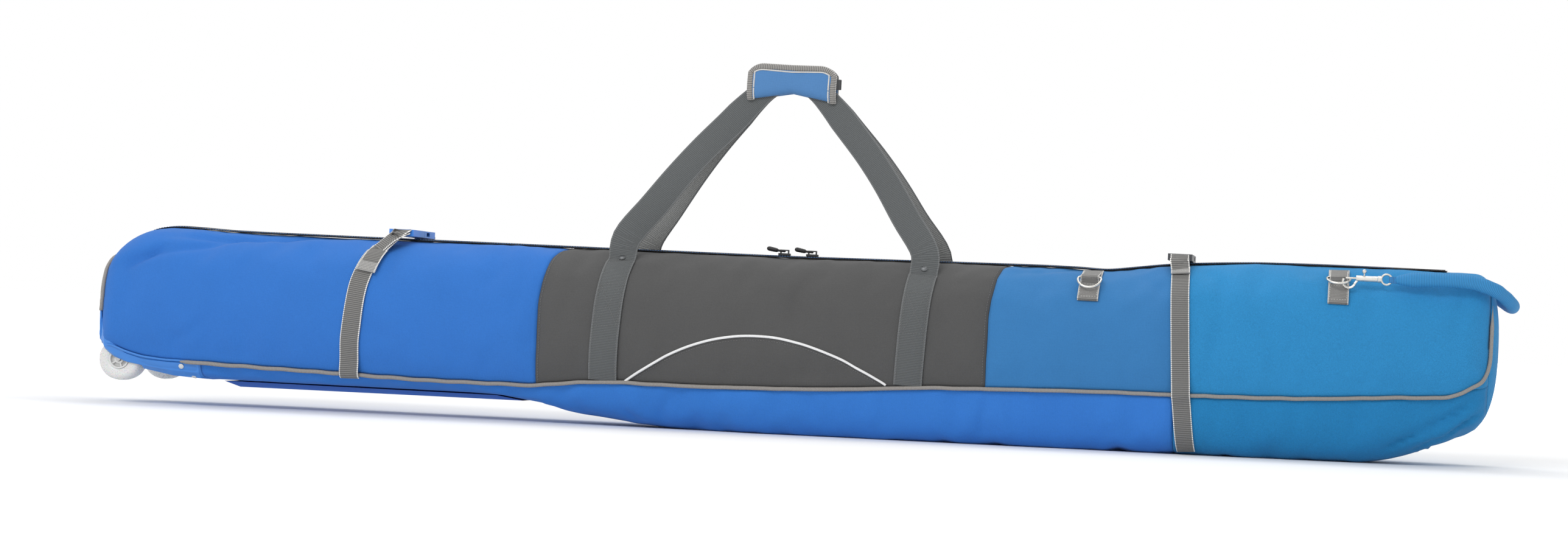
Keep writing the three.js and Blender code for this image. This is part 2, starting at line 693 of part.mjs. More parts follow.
/** One carry loop: flat webbing from the side panel, through the wrap, and back down. */
function addCarryLoop(side) {
  const half = loopCurve().getPoints(16);
  const gripZ = half.at(-1).z;
  const points = [
    ...half.map((p) => new THREE.Vector3(HANDLE_X - p.x, 0, p.z)),
    ...half.slice(0, -1).toReversed().map((p) => new THREE.Vector3(HANDLE_X + p.x, 0, p.z)),
  ];
  for (const p of points) {
    const rise = THREE.MathUtils.clamp((p.z - HINGE_Z) / (gripZ - 50 - HINGE_Z), 0, 1);
    p.y = side * THREE.MathUtils.lerp(HINGE_Y + 0.8, 1.7, rise);
  }
  const thin = WEBBING / 2;
  const broad = HANDLE_WEBBING / 2;
  const ribbon = [[-broad, -thin], [broad, -thin], [broad, thin], [-broad, thin]];
  add(`${sideName(side)}_carry_loop`, sweep(points, ribbon), handleGrey);
}

/** Half of the padded hand wrap: round upper corners, and a lower edge that rises to a peak. */
function addWrap(side) {
  const corner = 22;
  const shape = new THREE.Shape();
  shape.moveTo(-WRAP_HALF, WRAP_BOTTOM);
  shape.lineTo(0, WRAP_PEAK);
  shape.lineTo(WRAP_HALF, WRAP_BOTTOM);
  shape.lineTo(WRAP_HALF, WRAP_TOP - corner);
  shape.absarc(WRAP_HALF - corner, WRAP_TOP - corner, corner, 0, Math.PI / 2, false);
  shape.lineTo(corner - WRAP_HALF, WRAP_TOP);
  shape.absarc(corner - WRAP_HALF, WRAP_TOP - corner, corner, Math.PI / 2, Math.PI, false);
  const bevel = 1.5;
  const geometry = new THREE.ExtrudeGeometry(shape, {
    depth: WRAP_THICK - 2 * bevel,
    curveSegments: 6,
    bevelSize: bevel,
    bevelThickness: bevel,
    bevelOffset: -bevel,
    bevelSegments: 1,
  });
  geometry.rotateX(Math.PI / 2).translate(HANDLE_X, 0, 0);
  geometry.computeBoundingBox();
  const inner = 3.1;
  const { min, max } = geometry.boundingBox;
  geometry.translate(0, side < 0 ? -inner - max.y : inner - min.y, 0);
  add(`${sideName(side)}_hand_wrap`, geometry, royalBlue);
}

for (const side of [-1, 1]) {
  addCarryBand(side, handleEnds[0], 'wheel_side');
  addCarryBand(side, handleEnds[1], 'nose_side');
  addCarryLoop(side);
  addWrap(side);
}

// ---------------------------------------------------------------- compression straps

const STRAP_TOP_V = 0.83;
const leftStrapX = (v) => (
  LEFT_STRAP_X + LEFT_STRAP_LEAN * Math.max(0, (v - V_WIDE) / (1 - V_WIDE)) ** 1.4
);
const rightStrapX = (v) => (v > 0 ? HOOD_SEAM + 5 - 12 * v : HOOD_SEAM + 5 - 14 * v);

/** Webbing up both sides: the wheel-side pair from the piping, the nose-side pair from below. */
function addStrap(name, side, startV, centre) {
  const rows = [...[-0.3, 0.05].filter((v) => v > startV), ...rowsBetween(0.05, STRAP_TOP_V).slice(1)];
  const grid = (offset) => [-STRAP / 2, STRAP / 2].map(
    (dx) => [startV, ...rows].map((v) => skin(centre(v) + dx, v, side, offset)),
  );
  const geometry = shellBetween(grid(SEWN_GAP + WEBBING), grid(SEWN_GAP));
  add(`${sideName(side)}_compression_strap_${name}`, geometry, webbingGrey);
}

for (const side of [-1, 1]) {
  addStrap('wheel_side', side, 0.035, leftStrapX);
  addStrap('nose_side', side, -0.65, rightStrapX);
}

/** A side-release buckle across the top of the bag: socket at the back, plug at the front. */
function addBuckle(name, x, material) {
  const low = topEdge(x) + SEWN_GAP + TAPE + 2.4;
  const high = low + BUCKLE_HEIGHT;
  const half = BUCKLE_WIDTH / 2;
  const wall = 2;
  const mid = (low + high) / 2;
  const socket = toSolid(boxAt(x - half, x + half, 1, BUCKLE_REACH, low, high))
    .subtract(toSolid(boxAt(x - half + wall, x + half - wall, 0, 20, low + wall, high - wall)))
    .subtract(toSolid(boxAt(x - half - 1, x + half + 1, 7, 16, low + wall, high - wall)))
    .subtract(toSolid(boxAt(x - STRAP / 2, x + STRAP / 2, 23, 28, low - 1, high - wall)));
  add(`buckle_socket_${name}`, fromSolid(socket), material);

  const slot = (y0, y1) => toSolid(boxAt(x - STRAP / 2, x + STRAP / 2, y0, y1, low - 1, high + 1));
  const plug = toSolid(boxAt(x - half, x + half, -BUCKLE_REACH, 0.5, low, high))
    .subtract(slot(-28, -22))
    .subtract(slot(-18, -12))
    .add(toSolid(boxAt(x - 3, x + 3, 0, 18, mid - 1.8, mid + 1.8)))
    .add(toSolid(boxAt(x - half + 3, x - half + 7, 0, 15, mid - 1.8, mid + 1.8)))
    .add(toSolid(boxAt(x + half - 7, x + half - 3, 0, 15, mid - 1.8, mid + 1.8)));
  add(`buckle_plug_${name}`, fromSolid(plug), material);
}

addBuckle('wheel_side', leftStrapX(1), bluePlastic);
addBuckle('nose_side', rightStrapX(1), darkPlastic);

// ---------------------------------------------------------------- D-rings

/** A webbing tab with a D-ring swinging from it. */
function addRing(name, side, place) {
  const { x, tilt } = place;
  const low = vAtHeight(x, place.tabLow);
  const high = vAtHeight(x, place.tabHigh);
  const base = SEWN_GAP + 0.4;
  const tab = skinStrip(side, low, high, () => x, TAB, base, base + 2 * WEBBING);
  add(`${sideName(side)}_ring_tab_${name}`, tab, webbingGrey);

  const bar = ringBar(side, place);
  const arc = range(0, 180, 18).map((angle) => {
    const turn = THREE.MathUtils.degToRad(angle);
    return new THREE.Vector3(RING_RADIUS * Math.cos(turn), 0, -RING_DROP - RING_RADIUS * Math.sin(turn));
  });
  const barEnds = [2 - RING_RADIUS, RING_RADIUS - 2].map((end) => new THREE.Vector3(end, 0, 0));
  const ring = sweep([...barEnds, ...arc], roundOutline(RING_WIRE, 6), true);
  ring.rotateX(side * THREE.MathUtils.degToRad(tilt)).translate(bar.x, bar.y, bar.z);
  add(`${sideName(side)}_d_ring_${name}`, ring, metal);
}

/** Centre of a D-ring's straight bar, just clear of its tab. */
function ringBar(side, { x, barZ }) {
  const seat = skin(x, vAtHeight(x, barZ - 4), side, SEWN_GAP + 2 * WEBBING + RING_WIRE + 1.1);
  return new THREE.Vector3(x, seat.y, seat.z);
}

addRing('side', -1, SIDE_RING);
addRing('nose', -1, NOSE_RING);
addRing('nose', 1, NOSE_RING);

// ---------------------------------------------------------------- tow strap and snap hooks

/** Middle of the hook's loop, where it links with the nose D-ring. */
function hookCentre() {
  const reach = RING_DROP + RING_RADIUS * Math.sin(Math.PI / 6);
  const tilt = THREE.MathUtils.degToRad(NOSE_RING.tilt);
  const link = new THREE.Vector3(
    RING_RADIUS * Math.cos(Math.PI / 6), -reach * Math.sin(tilt), -reach * Math.cos(tilt),
  );
  const play = new THREE.Vector3(0.4, 0, 0);
  return ringBar(-1, NOSE_RING).add(link).add(play);
}

const { x: HOOK_X, z: HOOK_Z } = hookCentre();
const HOOK_Y = -hookCentre().y;

/** Round padded strap from hook to hook about the nose. */
function addTowStrap() {
  const z = HOOK_Z + BARREL_RISE;
  const start = HOOK_X + TOW_START;
  const front = [
    [start, HOOK_Y, z], [850, HOOK_Y + 1, z + 3], [897, 67, z + 2], [934, 56, z - 8], [957, 25, z - 24],
  ];
  const path = new THREE.CatmullRomCurve3([
    ...front.map(([x, y, height]) => new THREE.Vector3(x, -y, height)),
    ...front.toReversed().map(([x, y, height]) => new THREE.Vector3(x, y, height)),
  ]);
  const geometry = sweep(path.getPoints(30), roundOutline(TOW_RADIUS, 8), false, Z_AXIS);
  add('tow_strap', geometry, tealBlue);
}

/** A bolt snap: hook and barrel, sliding bolt with a thumb knob, and swivel eye. */
function addSnapHook(side) {
  const y = side * HOOK_Y;
  const axisZ = HOOK_Z + BARREL_RISE;
  const arc = range(-15, -208, 18).map((angle) => {
    const turn = THREE.MathUtils.degToRad(angle);
    return new THREE.Vector3(
      HOOK_X + HOOK_LOOP * Math.cos(turn), y, HOOK_Z + HOOK_LOOP * Math.sin(turn),
    );
  });
  const root = new THREE.Vector3(HOOK_X + 12, y, axisZ - 1.6);
  const hookBar = toSolid(sweep([root, ...arc], roundOutline(HOOK_WIRE, 8)));
  const barrelStart = HOOK_X + 9.5;
  const barrelEnd = HOOK_X + HOOK_LENGTH;
  const hook = hookBar
    .add(toSolid(rodAt(y, axisZ, BARREL_RADIUS, barrelStart, barrelEnd)))
    .subtract(toSolid(rodAt(y, axisZ, BOLT_RADIUS + 0.5, barrelStart - 10, barrelEnd - 4)))
    .subtract(toSolid(boxAt(HOOK_X + 17, barrelEnd - 5, y - 1.6, y + 1.6, axisZ, axisZ + 6)));
  add(`${sideName(side)}_snap_hook`, fromSolid(hook), metal);

  const knobX = HOOK_X + 20;
  const stem = new THREE.CylinderGeometry(0.9, 0.9, 9, 8).rotateX(Math.PI / 2);
  const knob = new THREE.SphereGeometry(3, 10, 8);
  const boltStart = HOOK_X - HOOK_LOOP + 3.6;
  const plunger = toSolid(rodAt(y, axisZ, BOLT_RADIUS, boltStart, HOOK_X + 25, 8))
    .add(toSolid(stem.translate(knobX, y, axisZ + 4.5)))
    .add(toSolid(knob.translate(knobX, y, axisZ + 9.5)));
  add(`${sideName(side)}_snap_bolt`, fromSolid(plunger), metal);

  const collar = 5;
  const eyeX = barrelEnd + collar + EYE_RADIUS;
  const eyePath = range(0, 340, 20).map((angle) => {
    const turn = THREE.MathUtils.degToRad(angle);
    return new THREE.Vector3(eyeX + EYE_RADIUS * Math.cos(turn), y, axisZ + EYE_RADIUS * Math.sin(turn));
  });
  const eye = toSolid(sweep(eyePath, roundOutline(1.5, 6), true))
    .add(toSolid(rodAt(y, axisZ, BARREL_RADIUS + 0.6, barrelEnd + 0.4, barrelEnd + collar)));
  add(`${sideName(side)}_swivel_eye`, fromSolid(eye), metal);
}

addTowStrap();
addSnapHook(-1);
addSnapHook(1);

export default group;
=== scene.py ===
"""A wheeled ski bag: fabric, webbing, zip, wheels and hardware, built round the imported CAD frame."""

import json
import math

import bmesh
import bpy
import numpy as np
from mathutils import Matrix, Vector, noise
from mathutils.bvhtree import BVHTree


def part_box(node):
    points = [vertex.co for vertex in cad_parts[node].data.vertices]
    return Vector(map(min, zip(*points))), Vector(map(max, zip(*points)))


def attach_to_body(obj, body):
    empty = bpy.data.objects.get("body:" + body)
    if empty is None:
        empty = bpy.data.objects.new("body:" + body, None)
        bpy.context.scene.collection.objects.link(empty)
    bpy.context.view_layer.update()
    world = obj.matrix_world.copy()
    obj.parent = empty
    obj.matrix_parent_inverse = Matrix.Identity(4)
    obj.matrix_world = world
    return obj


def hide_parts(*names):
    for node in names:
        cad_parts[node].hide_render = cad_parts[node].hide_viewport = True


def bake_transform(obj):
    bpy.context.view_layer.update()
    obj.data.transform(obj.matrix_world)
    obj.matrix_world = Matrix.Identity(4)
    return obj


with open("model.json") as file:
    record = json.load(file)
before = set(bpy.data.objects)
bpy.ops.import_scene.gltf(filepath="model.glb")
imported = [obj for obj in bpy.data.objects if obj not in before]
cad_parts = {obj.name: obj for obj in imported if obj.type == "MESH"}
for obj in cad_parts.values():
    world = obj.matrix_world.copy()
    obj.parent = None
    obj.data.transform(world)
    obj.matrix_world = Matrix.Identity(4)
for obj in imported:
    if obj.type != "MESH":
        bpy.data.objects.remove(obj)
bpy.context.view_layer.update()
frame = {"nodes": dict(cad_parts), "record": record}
NODES = frame["nodes"]

MM = 0.001
SIDES = {-1: "front", 1: "back"}
PARTS = ("wheel_side", "nose_side")
UP = np.array([0.0, 0.0, 1.0])
BOXES = {name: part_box(name) for name in NODES}


def low(node):
    return BOXES[node][0]


def high(node):
    return BOXES[node][1]


def middle(node):
    return (low(node) + high(node)) / 2


# ------------------------------------------------------------------ driving sizes, from the frame

WHEEL_TIP = low("wheel_end_cap").x
WHEEL_SEAM = low("front_panel_wheel_end").x
NOSE_SEAM = high("front_panel_nose_hood").x
NOSE_TIP = high("nose_cap").x
GREY_START = low("front_panel_centre").x
GREY_END = low("front_panel_nose_side").x
HOOD_SEAM = low("front_panel_nose_hood").x
LEAN = high("front_panel_wheel_end").x - GREY_START
HOUSING_END = high("wheel_housing").x
SHELL = 2.5 * MM
TUCK = 1.3 * MM
TUCK_WIDTH = 3.5 * MM
WEBBING = 1.6 * MM
SEWN = 0.5 * MM


# ------------------------------------------------------------------ the skin of the bag

BODY_NODES = [
    "bottom_gusset", "nose_gusset", "nose_cap", "wheel_end_cap", "wheel_housing",
    *[f"back_panel_{part}" for part in ("wheel_end", "centre", "nose_side", "nose_hood")],
]


def tree_of(names):
    """One ray-casting tree of several CAD nodes."""
    corners, faces = [], []
    for name in names:
        mesh = NODES[name].data
        base = len(corners)
        corners += [v.co.copy() for v in mesh.vertices]
        faces += [[base + i for i in p.vertices] for p in mesh.polygons]
    return BVHTree.FromPolygons(corners, faces)


def convex_side(points):
    """The convex outline of (y, z) points with y >= 0, from the lowest point to the highest."""
    points = sorted(set(points), key=lambda p: (p[1], p[0]))
    hull = []
    for p in points:
        while len(hull) > 1:
            (ay, az), (by, bz) = hull[-2:]
            if (by - ay) * (p[1] - az) - (bz - az) * (p[0] - ay) > 0:
                break
            hull.pop()
        hull.append(p)
    return np.array(hull)


def outline_at(tree, x):
    """The bag's outline at x, from the middle of the underside round the back to the zip."""
    off_seam = 4 * MM
    top = tree.ray_cast(Vector((x, off_seam, 1)), Vector((0, 0, -1)))[0]
    bottom = tree.ray_cast(Vector((x, off_seam, -1)), Vector((0, 0, 1)))[0]
    if top is None or bottom is None:
        return None
    centre = Vector((x, 0, (top.z + bottom.z) / 2))
    found = [(0.0, bottom.z), (0.0, top.z)]
    for angle in np.linspace(0, math.pi, 110):
        out = Vector((0, math.sin(angle), -math.cos(angle)))
        hit = tree.ray_cast(centre + 0.3 * out, -out, 0.3)[0]
        if hit is not None:
            found.append((max(0.0, hit.y), hit.z))
    return convex_side(found)


def seam_heights():
    """Height of the piped seam along the bag, as (x, z) from the lower edge of the side panels."""
    lowest = {}
    for part in ("wheel_end", "centre", "nose_side", "nose_hood"):
        for vertex in NODES[f"back_panel_{part}"].data.vertices:
            x, z = round(vertex.co.x, 3), vertex.co.z
            lowest[x] = min(lowest.get(x, 9.0), z)
    seam = [
        x for x in sorted(lowest)
        if lowest[x] < 12 * MM + min(z for b, z in lowest.items() if abs(b - x) < 30 * MM)
    ]
    return np.array(seam), np.array([lowest[x] for x in seam])


def smoothed(table, axis, width):
    """The table blurred along one axis, with its two ends held."""
    reach = int(3 * width) + 1
    kernel = np.exp(-0.5 * (np.arange(-reach, reach + 1) / width) ** 2)
    kernel /= kernel.sum()
    moved = np.moveaxis(table, axis, 0)
    padded = np.concatenate([
        2 * moved[:1] - moved[reach:0:-1], moved, 2 * moved[-1:] - moved[-2:-reach - 2:-1],
    ])
    blurred = sum(k * padded[i:i + len(moved)] for i, k in enumerate(kernel))
    return np.moveaxis(blurred, 0, axis)


def column_places():
    """Stations along the bag: even in the middle, crowded towards both tips."""
    end = 90 * MM
    crowd = 1 - np.cos(np.linspace(0, math.pi / 2, 30))
    first = WHEEL_TIP + 0.4 * MM + end * crowd
    last = NOSE_TIP - 0.4 * MM - end * crowd[::-1]
    between = np.arange(first[-1], last[0], 5 * MM)[1:]
    return np.concatenate([first, between, last])


XS = column_places()
VS = np.concatenate([np.linspace(-1, 0, 26), np.linspace(0, 1, 56)[1:]])


def sample_body():
    """The skin on the back side, on the grid of XS and VS: v is -1 at the underside's middle, 0 at
    the piped seam and 1 at the zip."""
    tree = tree_of(BODY_NODES)
    seam_x, seam_z = seam_heights()
    outlines = [outline_at(tree, x) for x in XS]
    known = [i for i, outline in enumerate(outlines) if outline is not None]
    grid = np.zeros((len(XS), len(VS), 3))
    share = 0.0
    for i in known:
        outline = outlines[i]
        steps = np.hypot(*np.diff(outline, axis=0).T)
        along = np.concatenate([[0], np.cumsum(steps)])
        bottom, top = outline[0, 1], outline[-1, 1]
        if WHEEL_SEAM < XS[i] < NOSE_SEAM - 2 * MM:
            share = (np.interp(XS[i], seam_x, seam_z) - bottom) / (top - bottom)
        elif XS[i] <= WHEEL_SEAM:
            share = (seam_z[0] - bottom) / (top - bottom)
        share = min(max(share, 0.05), 0.8)
        seam = np.interp(bottom + share * (top - bottom), outline[:, 1], along)
        reach = np.where(VS < 0, (1 + VS) * seam, seam + VS * (along[-1] - seam))
        grid[i, :, 0] = XS[i]
        grid[i, :, 1] = np.interp(reach, along, outline[:, 0])
        grid[i, :, 2] = np.interp(reach, along, outline[:, 1])
    for i in range(len(XS)):
        if i not in known:
            nearest = min(known, key=lambda k: abs(k - i))
            tip = grid[nearest].mean(axis=0)
            shrink = 0.5 ** abs(nearest - i)
            grid[i] = tip + shrink * (grid[nearest] - tip)
            grid[i, :, 0] = XS[i]
            grid[i, :, 1] = shrink * grid[nearest, :, 1]
    middle_line = grid[:, [0, -1], 1].copy()
    grid[:, :, 1:] = smoothed(smoothed(grid[:, :, 1:], 0, 2.0), 1, 1.6)
    grid[:, [0, -1], 1] = middle_line
    return grid


def normals_of(grid, side):
    """Outward unit normals of a skin grid."""
    across = np.cross(np.gradient(grid, axis=0), np.gradient(grid, axis=1))
    length = np.linalg.norm(across, axis=2, keepdims=True)
    tip = np.zeros_like(grid)
    tip[..., 0] = np.sign(grid[..., 0])
    weak = length < 1e-9
    unit = np.where(weak, tip, -side * across / np.maximum(length, 1e-9))
    unit[:, [0, -1], 1] = 0
    return unit / np.maximum(np.linalg.norm(unit, axis=2, keepdims=True), 1e-9)


def lookup(table, x, v):
    """A grid's values at any x and v."""
    i = np.interp(x, XS, np.arange(len(XS)))
    j = np.interp(v, VS, np.arange(len(VS)))
    i0 = np.clip(i.astype(int), 0, len(XS) - 2)
    j0 = np.clip(j.astype(int), 0, len(VS) - 2)
    fi, fj = (i - i0)[..., None], (j - j0)[..., None]
    near = table[i0, j0] * (1 - fi) + table[i0 + 1, j0] * fi
    far = table[i0, j0 + 1] * (1 - fi) + table[i0 + 1, j0 + 1] * fi
    return near * (1 - fj) + far * fj


def surface(x, v, side, offset=0.0):
    """Points of the bag's skin; side is -1 at the front and 1 at the back."""
    x, v = np.broadcast_arrays(np.asarray(x, float), np.asarray(v, float))
    offset = np.broadcast_to(np.asarray(offset, float), x.shape)[..., None]
    return lookup(SKIN[side], x, v) + offset * lookup(NORMAL[side], x, v)


def way_out(x, v, side):
    """The way out of the skin at each place."""
    x, v = np.broadcast_arrays(np.asarray(x, float), np.asarray(v, float))
    return lookup(NORMAL[side], x, v)


def on_skin(x, v, side, offset=0.0):
    """Points over the skin, and the way out at each of them."""
    return surface(x, v, side, offset), way_out(x, v, side)


def v_at(x, z, side=-1):
    """Where on the side of the bag a height lies."""
    heights = surface(x, VS[VS >= 0], side)[:, 2]
    return float(np.interp(z, heights, VS[VS >= 0]))


def lean(v):
    """Seams and straps lean towards the nose near the zip."""
    return LEAN * np.clip((np.asarray(v) - 0.45) / 0.55, 0, 1) ** 1.5


def tube_faces(count, around, closed=False):
    """The quads between rings of points that follow one another."""
    faces = []
    for i in range(count if closed else count - 1):
        n = (i + 1) % count
        for j in range(around):
            k = (j + 1) % around
            faces.append((i * around + j, i * around + k, n * around + k, n * around + j))
    return faces


def end_faces(count, around):
    """The two faces that close a tube of rings."""
    return [tuple(range(around)), tuple(range((count - 1) * around, count * around))]


# ------------------------------------------------------------------ cloth

def pin_weights(xs, vs):
    """How firmly the sewn lines hold the fabric: 1 on a seam, falling to 0 in open fabric."""
    seams_x = [(WHEEL_SEAM, 1.0), (GREY_START, 0.5), (GREY_END, 0.5), (HOOD_SEAM, 0.9), (NOSE_SEAM, 1.0)]
    weight = np.zeros((len(xs), len(vs)))
    for place, strength in seams_x:
        near = np.exp(-((xs - place) / (12 * MM)) ** 2)
        weight = np.maximum(weight, strength * near[:, None])
    for place in (0.0, 1.0):
        weight = np.maximum(weight, np.exp(-((vs - place) / 0.06) ** 2)[None, :])
    weight[np.abs(xs) > NOSE_SEAM] = 1.0
    weight[xs < HOUSING_END] = np.maximum(weight[xs < HOUSING_END], (vs < 0)[None, :])
    return weight


def simulate_body(cap=7 * MM, step=9 * MM):
    """Blows the fabric up a little between its seams, and adds what it moved to the skin."""
    xs = np.linspace(XS[0], XS[-1], round((XS[-1] - XS[0]) / step))
    vs = np.concatenate([np.linspace(-1, 0, 10), np.linspace(0, 1, 24)[1:]])
    ring = [(1, v) for v in vs] + [(-1, v) for v in vs[-2:0:-1]]
    rest = np.stack([
        surface(xs, np.full_like(xs, v), side) for side, v in ring
    ], axis=1)
    columns, rows = rest.shape[:2]
    mesh = bpy.data.meshes.new("drape")
    mesh.from_pydata(rest.reshape(-1, 3).tolist(), [], tube_faces(columns, rows))
    body = bpy.data.objects.new("drape", mesh)
    bpy.context.scene.collection.objects.link(body)
    held = body.vertex_groups.new(name="held")
    weights = pin_weights(xs, vs)
    for j, (side, v) in enumerate(ring):
        column = weights[:, np.argmin(np.abs(vs - v))]
        for i in range(columns):
            held.add([i * rows + j], float(column[i]), "REPLACE")
    cloth = body.modifiers.new("cloth", "CLOTH")
    cloth.settings.quality = 6
    cloth.settings.mass = 0.3
    cloth.settings.tension_stiffness = 12
    cloth.settings.compression_stiffness = 12
    cloth.settings.bending_stiffness = 0.6
    cloth.settings.shrink_min = -0.022
    cloth.settings.use_pressure = True
    cloth.settings.uniform_pressure_force = 3.0
    cloth.settings.vertex_group_mass = "held"
    cloth.settings.effector_weights.gravity = 0
    cloth.collision_settings.use_collision = False
    scene = bpy.context.scene
    for frame_number in range(1, 21):
        scene.frame_set(frame_number)
    moved = body.evaluated_get(bpy.context.evaluated_depsgraph_get()).data
    found = np.array([v.co for v in moved.vertices]).reshape(rest.shape)
    scene.frame_set(1)
    bpy.data.objects.remove(body)
    shift = found - rest
    length = np.linalg.norm(shift, axis=2, keepdims=True)
    shift *= cap * np.tanh(length / cap) / np.maximum(length, 1e-9)
    for side in SIDES:
        rows_here = [ring.index((side, v)) if (side, v) in ring else ring.index((1, v)) for v in vs]
        here = shift[:, rows_here]
        wide = np.stack([
            np.stack([np.interp(XS, xs, here[:, j, c]) for j in range(len(vs))], axis=1)
            for c in range(3)
        ], axis=2)
        full = np.stack([
            np.stack([np.interp(VS, vs, wide[i, :, c]) for i in range(len(XS))])
            for c in range(3)
        ], axis=2)
        full[:, [0, -1], 1] = 0
        full[:, -1] *= 0
        SKIN[side] = SKIN[side] + smoothed(smoothed(full, 0, 1.0), 1, 1.0)


def crease(side, start, end, width, depth):
    """A soft fold pressed into the skin between two (x, v) places; depth below 0 raises it."""
    grid_x, grid_v = np.meshgrid(XS, VS, indexing="ij")
    scale = 0.24
    px, pv = (grid_x - start[0]), (grid_v - start[1]) * scale
    dx, dv = end[0] - start[0], (end[1] - start[1]) * scale
    length = math.hypot(dx, dv)
    share = (px * dx + pv * dv) / length ** 2
    off = (px * dv - pv * dx) / length
    fade = np.exp(-(np.clip(np.abs(share - 0.5) - 0.25, 0, None) / 0.22) ** 2)
    wander = 0.25 * width * np.sin(9 * share)
    amount = depth * fade * np.exp(-((off + wander) / width) ** 2)
    SKIN[side] = SKIN[side] - amount[..., None] * NORMAL[side]


def ripple(side, seed, size, depth):
    """Slow unevenness of hand-packed fabric."""
    shift = Vector((seed, 2 * seed, 3 * seed))
    uneven = np.array([
        [noise.noise(Vector(point) / size + shift) for point in row] for row in SKIN[side]
    ])
    calm = np.clip(1.5 * (1 - pin_weights(XS, VS)), 0, 1)
    SKIN[side] = SKIN[side] + (depth * uneven * calm)[..., None] * NORMAL[side]


def wrinkle_body(side):
    """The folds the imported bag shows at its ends, over the seams and along the belly."""
    tip = WHEEL_SEAM
    folds = [
        ((tip + 0.02, 0.55), (tip + 0.18, 0.86), 8 * MM, 2.8 * MM),
        ((tip + 0.03, 0.52), (tip + 0.085, 0.72), 5 * MM, 2.6 * MM),
        ((tip + 0.09, 0.80), (tip + 0.30, 0.95), 7 * MM, 3.2 * MM),
        ((tip + 0.30, 0.50), (tip + 0.40, 0.20), 14 * MM, 1.0 * MM),
        ((tip + 0.10, 0.10), (tip + 0.15, 0.28), 8 * MM, 1.0 * MM),
        ((GREY_START - 0.03, 0.35), (GREY_START - 0.02, 0.75), 12 * MM, 1.0 * MM),
        ((GREY_START + 0.03, 0.2), (GREY_START + 0.05, 0.9), 12 * MM, 1.2 * MM),
        ((GREY_END - 0.08, 0.1), (GREY_END - 0.05, 0.85), 10 * MM, 1.2 * MM),
        ((GREY_END + 0.02, 0.78), (GREY_END + 0.12, 0.95), 9 * MM, 1.4 * MM),
        ((HOOD_SEAM - 0.07, 0.92), (HOOD_SEAM - 0.02, 0.6), 11 * MM, 1.4 * MM),
        ((HOOD_SEAM + 0.05, 0.15), (HOOD_SEAM + 0.06, 0.8), 12 * MM, 1.6 * MM),
        ((HOOD_SEAM + 0.13, 0.1), (HOOD_SEAM + 0.12, 0.5), 10 * MM, 1.0 * MM),
        ((HOOD_SEAM - 0.25, -0.1), (HOOD_SEAM - 0.26, -0.55), 7 * MM, 1.8 * MM),
        ((HOOD_SEAM - 0.23, -0.2), (HOOD_SEAM - 0.22, -0.5), 6 * MM, -1.2 * MM),
        ((GREY_START + 0.10, -0.15), (GREY_START + 0.13, -0.6), 9 * MM, 1.6 * MM),
        ((GREY_START + 0.18, -0.1), (GREY_START + 0.16, -0.6), 8 * MM, 1.3 * MM),
        ((NOSE_SEAM - 0.14, -0.62), (NOSE_SEAM - 0.01, -0.18), 6 * MM, 3.4 * MM),
        ((NOSE_SEAM - 0.11, -0.45), (NOSE_SEAM - 0.01, -0.1), 5 * MM, 2.8 * MM),
        ((NOSE_SEAM - 0.10, -0.75), (NOSE_SEAM - 0.005, -0.4), 5 * MM, 3.0 * MM),
        ((NOSE_SEAM - 0.05, 0.35), (NOSE_SEAM - 0.04, 0.75), 10 * MM, 1.0 * MM),
    ]
    for start, end, width, depth in folds:
        crease(side, start, end, 0.85 * width, 2.1 * depth)
    ripple(side, 3.1, 0.11, 2.6 * MM)
    ripple(side, 8.4, 0.035, 1.3 * MM)


def held_flat():
    """Places where webbing is sewn on, as (x at v = 0, x at v = 1, half-width)."""
    places = []
    for node, wide in (
        ("front_carry_band_wheel_side", 38), ("front_carry_band_nose_side", 38),
        ("front_compression_strap_wheel_side", 25), ("front_compression_strap_nose_side", 25),
        ("front_ring_tab_side", 28), ("front_ring_tab_nose", 28),
    ):
        half = wide * MM / 2
        ends = [low(node).x + half, high(node).x - half]
        if node == "front_compression_strap_nose_side":
            ends.reverse()
        places.append((*ends, half))
    return places


def flatten_below_webbing(side):
    """Sewn webbing holds the fabric straight across its width."""
    grid_x, grid_v = np.meshgrid(XS, VS, indexing="ij")
    even = smoothed(smoothed(SKIN[side], 0, 5.0), 1, 1.2)
    share = np.zeros(grid_x.shape)
    for start, end, half in held_flat():
        off = grid_x - (start + (end - start) * np.clip(grid_v, 0, 1))
        share = np.maximum(share, np.exp(-(off / (half + 8 * MM)) ** 4))
    share[:, 0] = share[:, -1] = 0
    SKIN[side] = SKIN[side] + share[..., None] * (even - SKIN[side])


def rest_on_floor(drawn_heights):
    """The belly lies flat on the floor and on the runner, and the two sides meet in the middle."""
    for line in (0, -1):
        shared = (SKIN[1][:, line] + SKIN[-1][:, line]) / 2
        for side in SIDES:
            SKIN[side][:, line] = shared * np.array([1, 0, 1])
    over_runner = (XS < high("base_runner").x + 30 * MM)[:, None] & (VS < -0.3)[None, :]
    for side in SIDES:
        heights = SKIN[side][..., 2]
        heights[over_runner] = np.maximum(heights, drawn_heights + 0.4 * MM)[over_runner]
        SKIN[side][..., 2] = np.maximum(heights, 0.2 * MM)


def make_skin():
    """Sample the frame, let the cloth settle, then press the folds in."""
    back = sample_body()
    SKIN[1] = back
    SKIN[-1] = back * np.array([1, -1, 1])
    for side in SIDES:
        NORMAL[side] = normals_of(SKIN[side], side)
    simulate_body()
    for side in SIDES:
        NORMAL[side] = normals_of(SKIN[side], side)
        wrinkle_body(side)
        flatten_below_webbing(side)
    rest_on_floor(back[..., 2])
    for side in SIDES:
        NORMAL[side] = normals_of(SKIN[side], side)


SKIN = {}
NORMAL = {}
make_skin()


# ------------------------------------------------------------------ mesh building

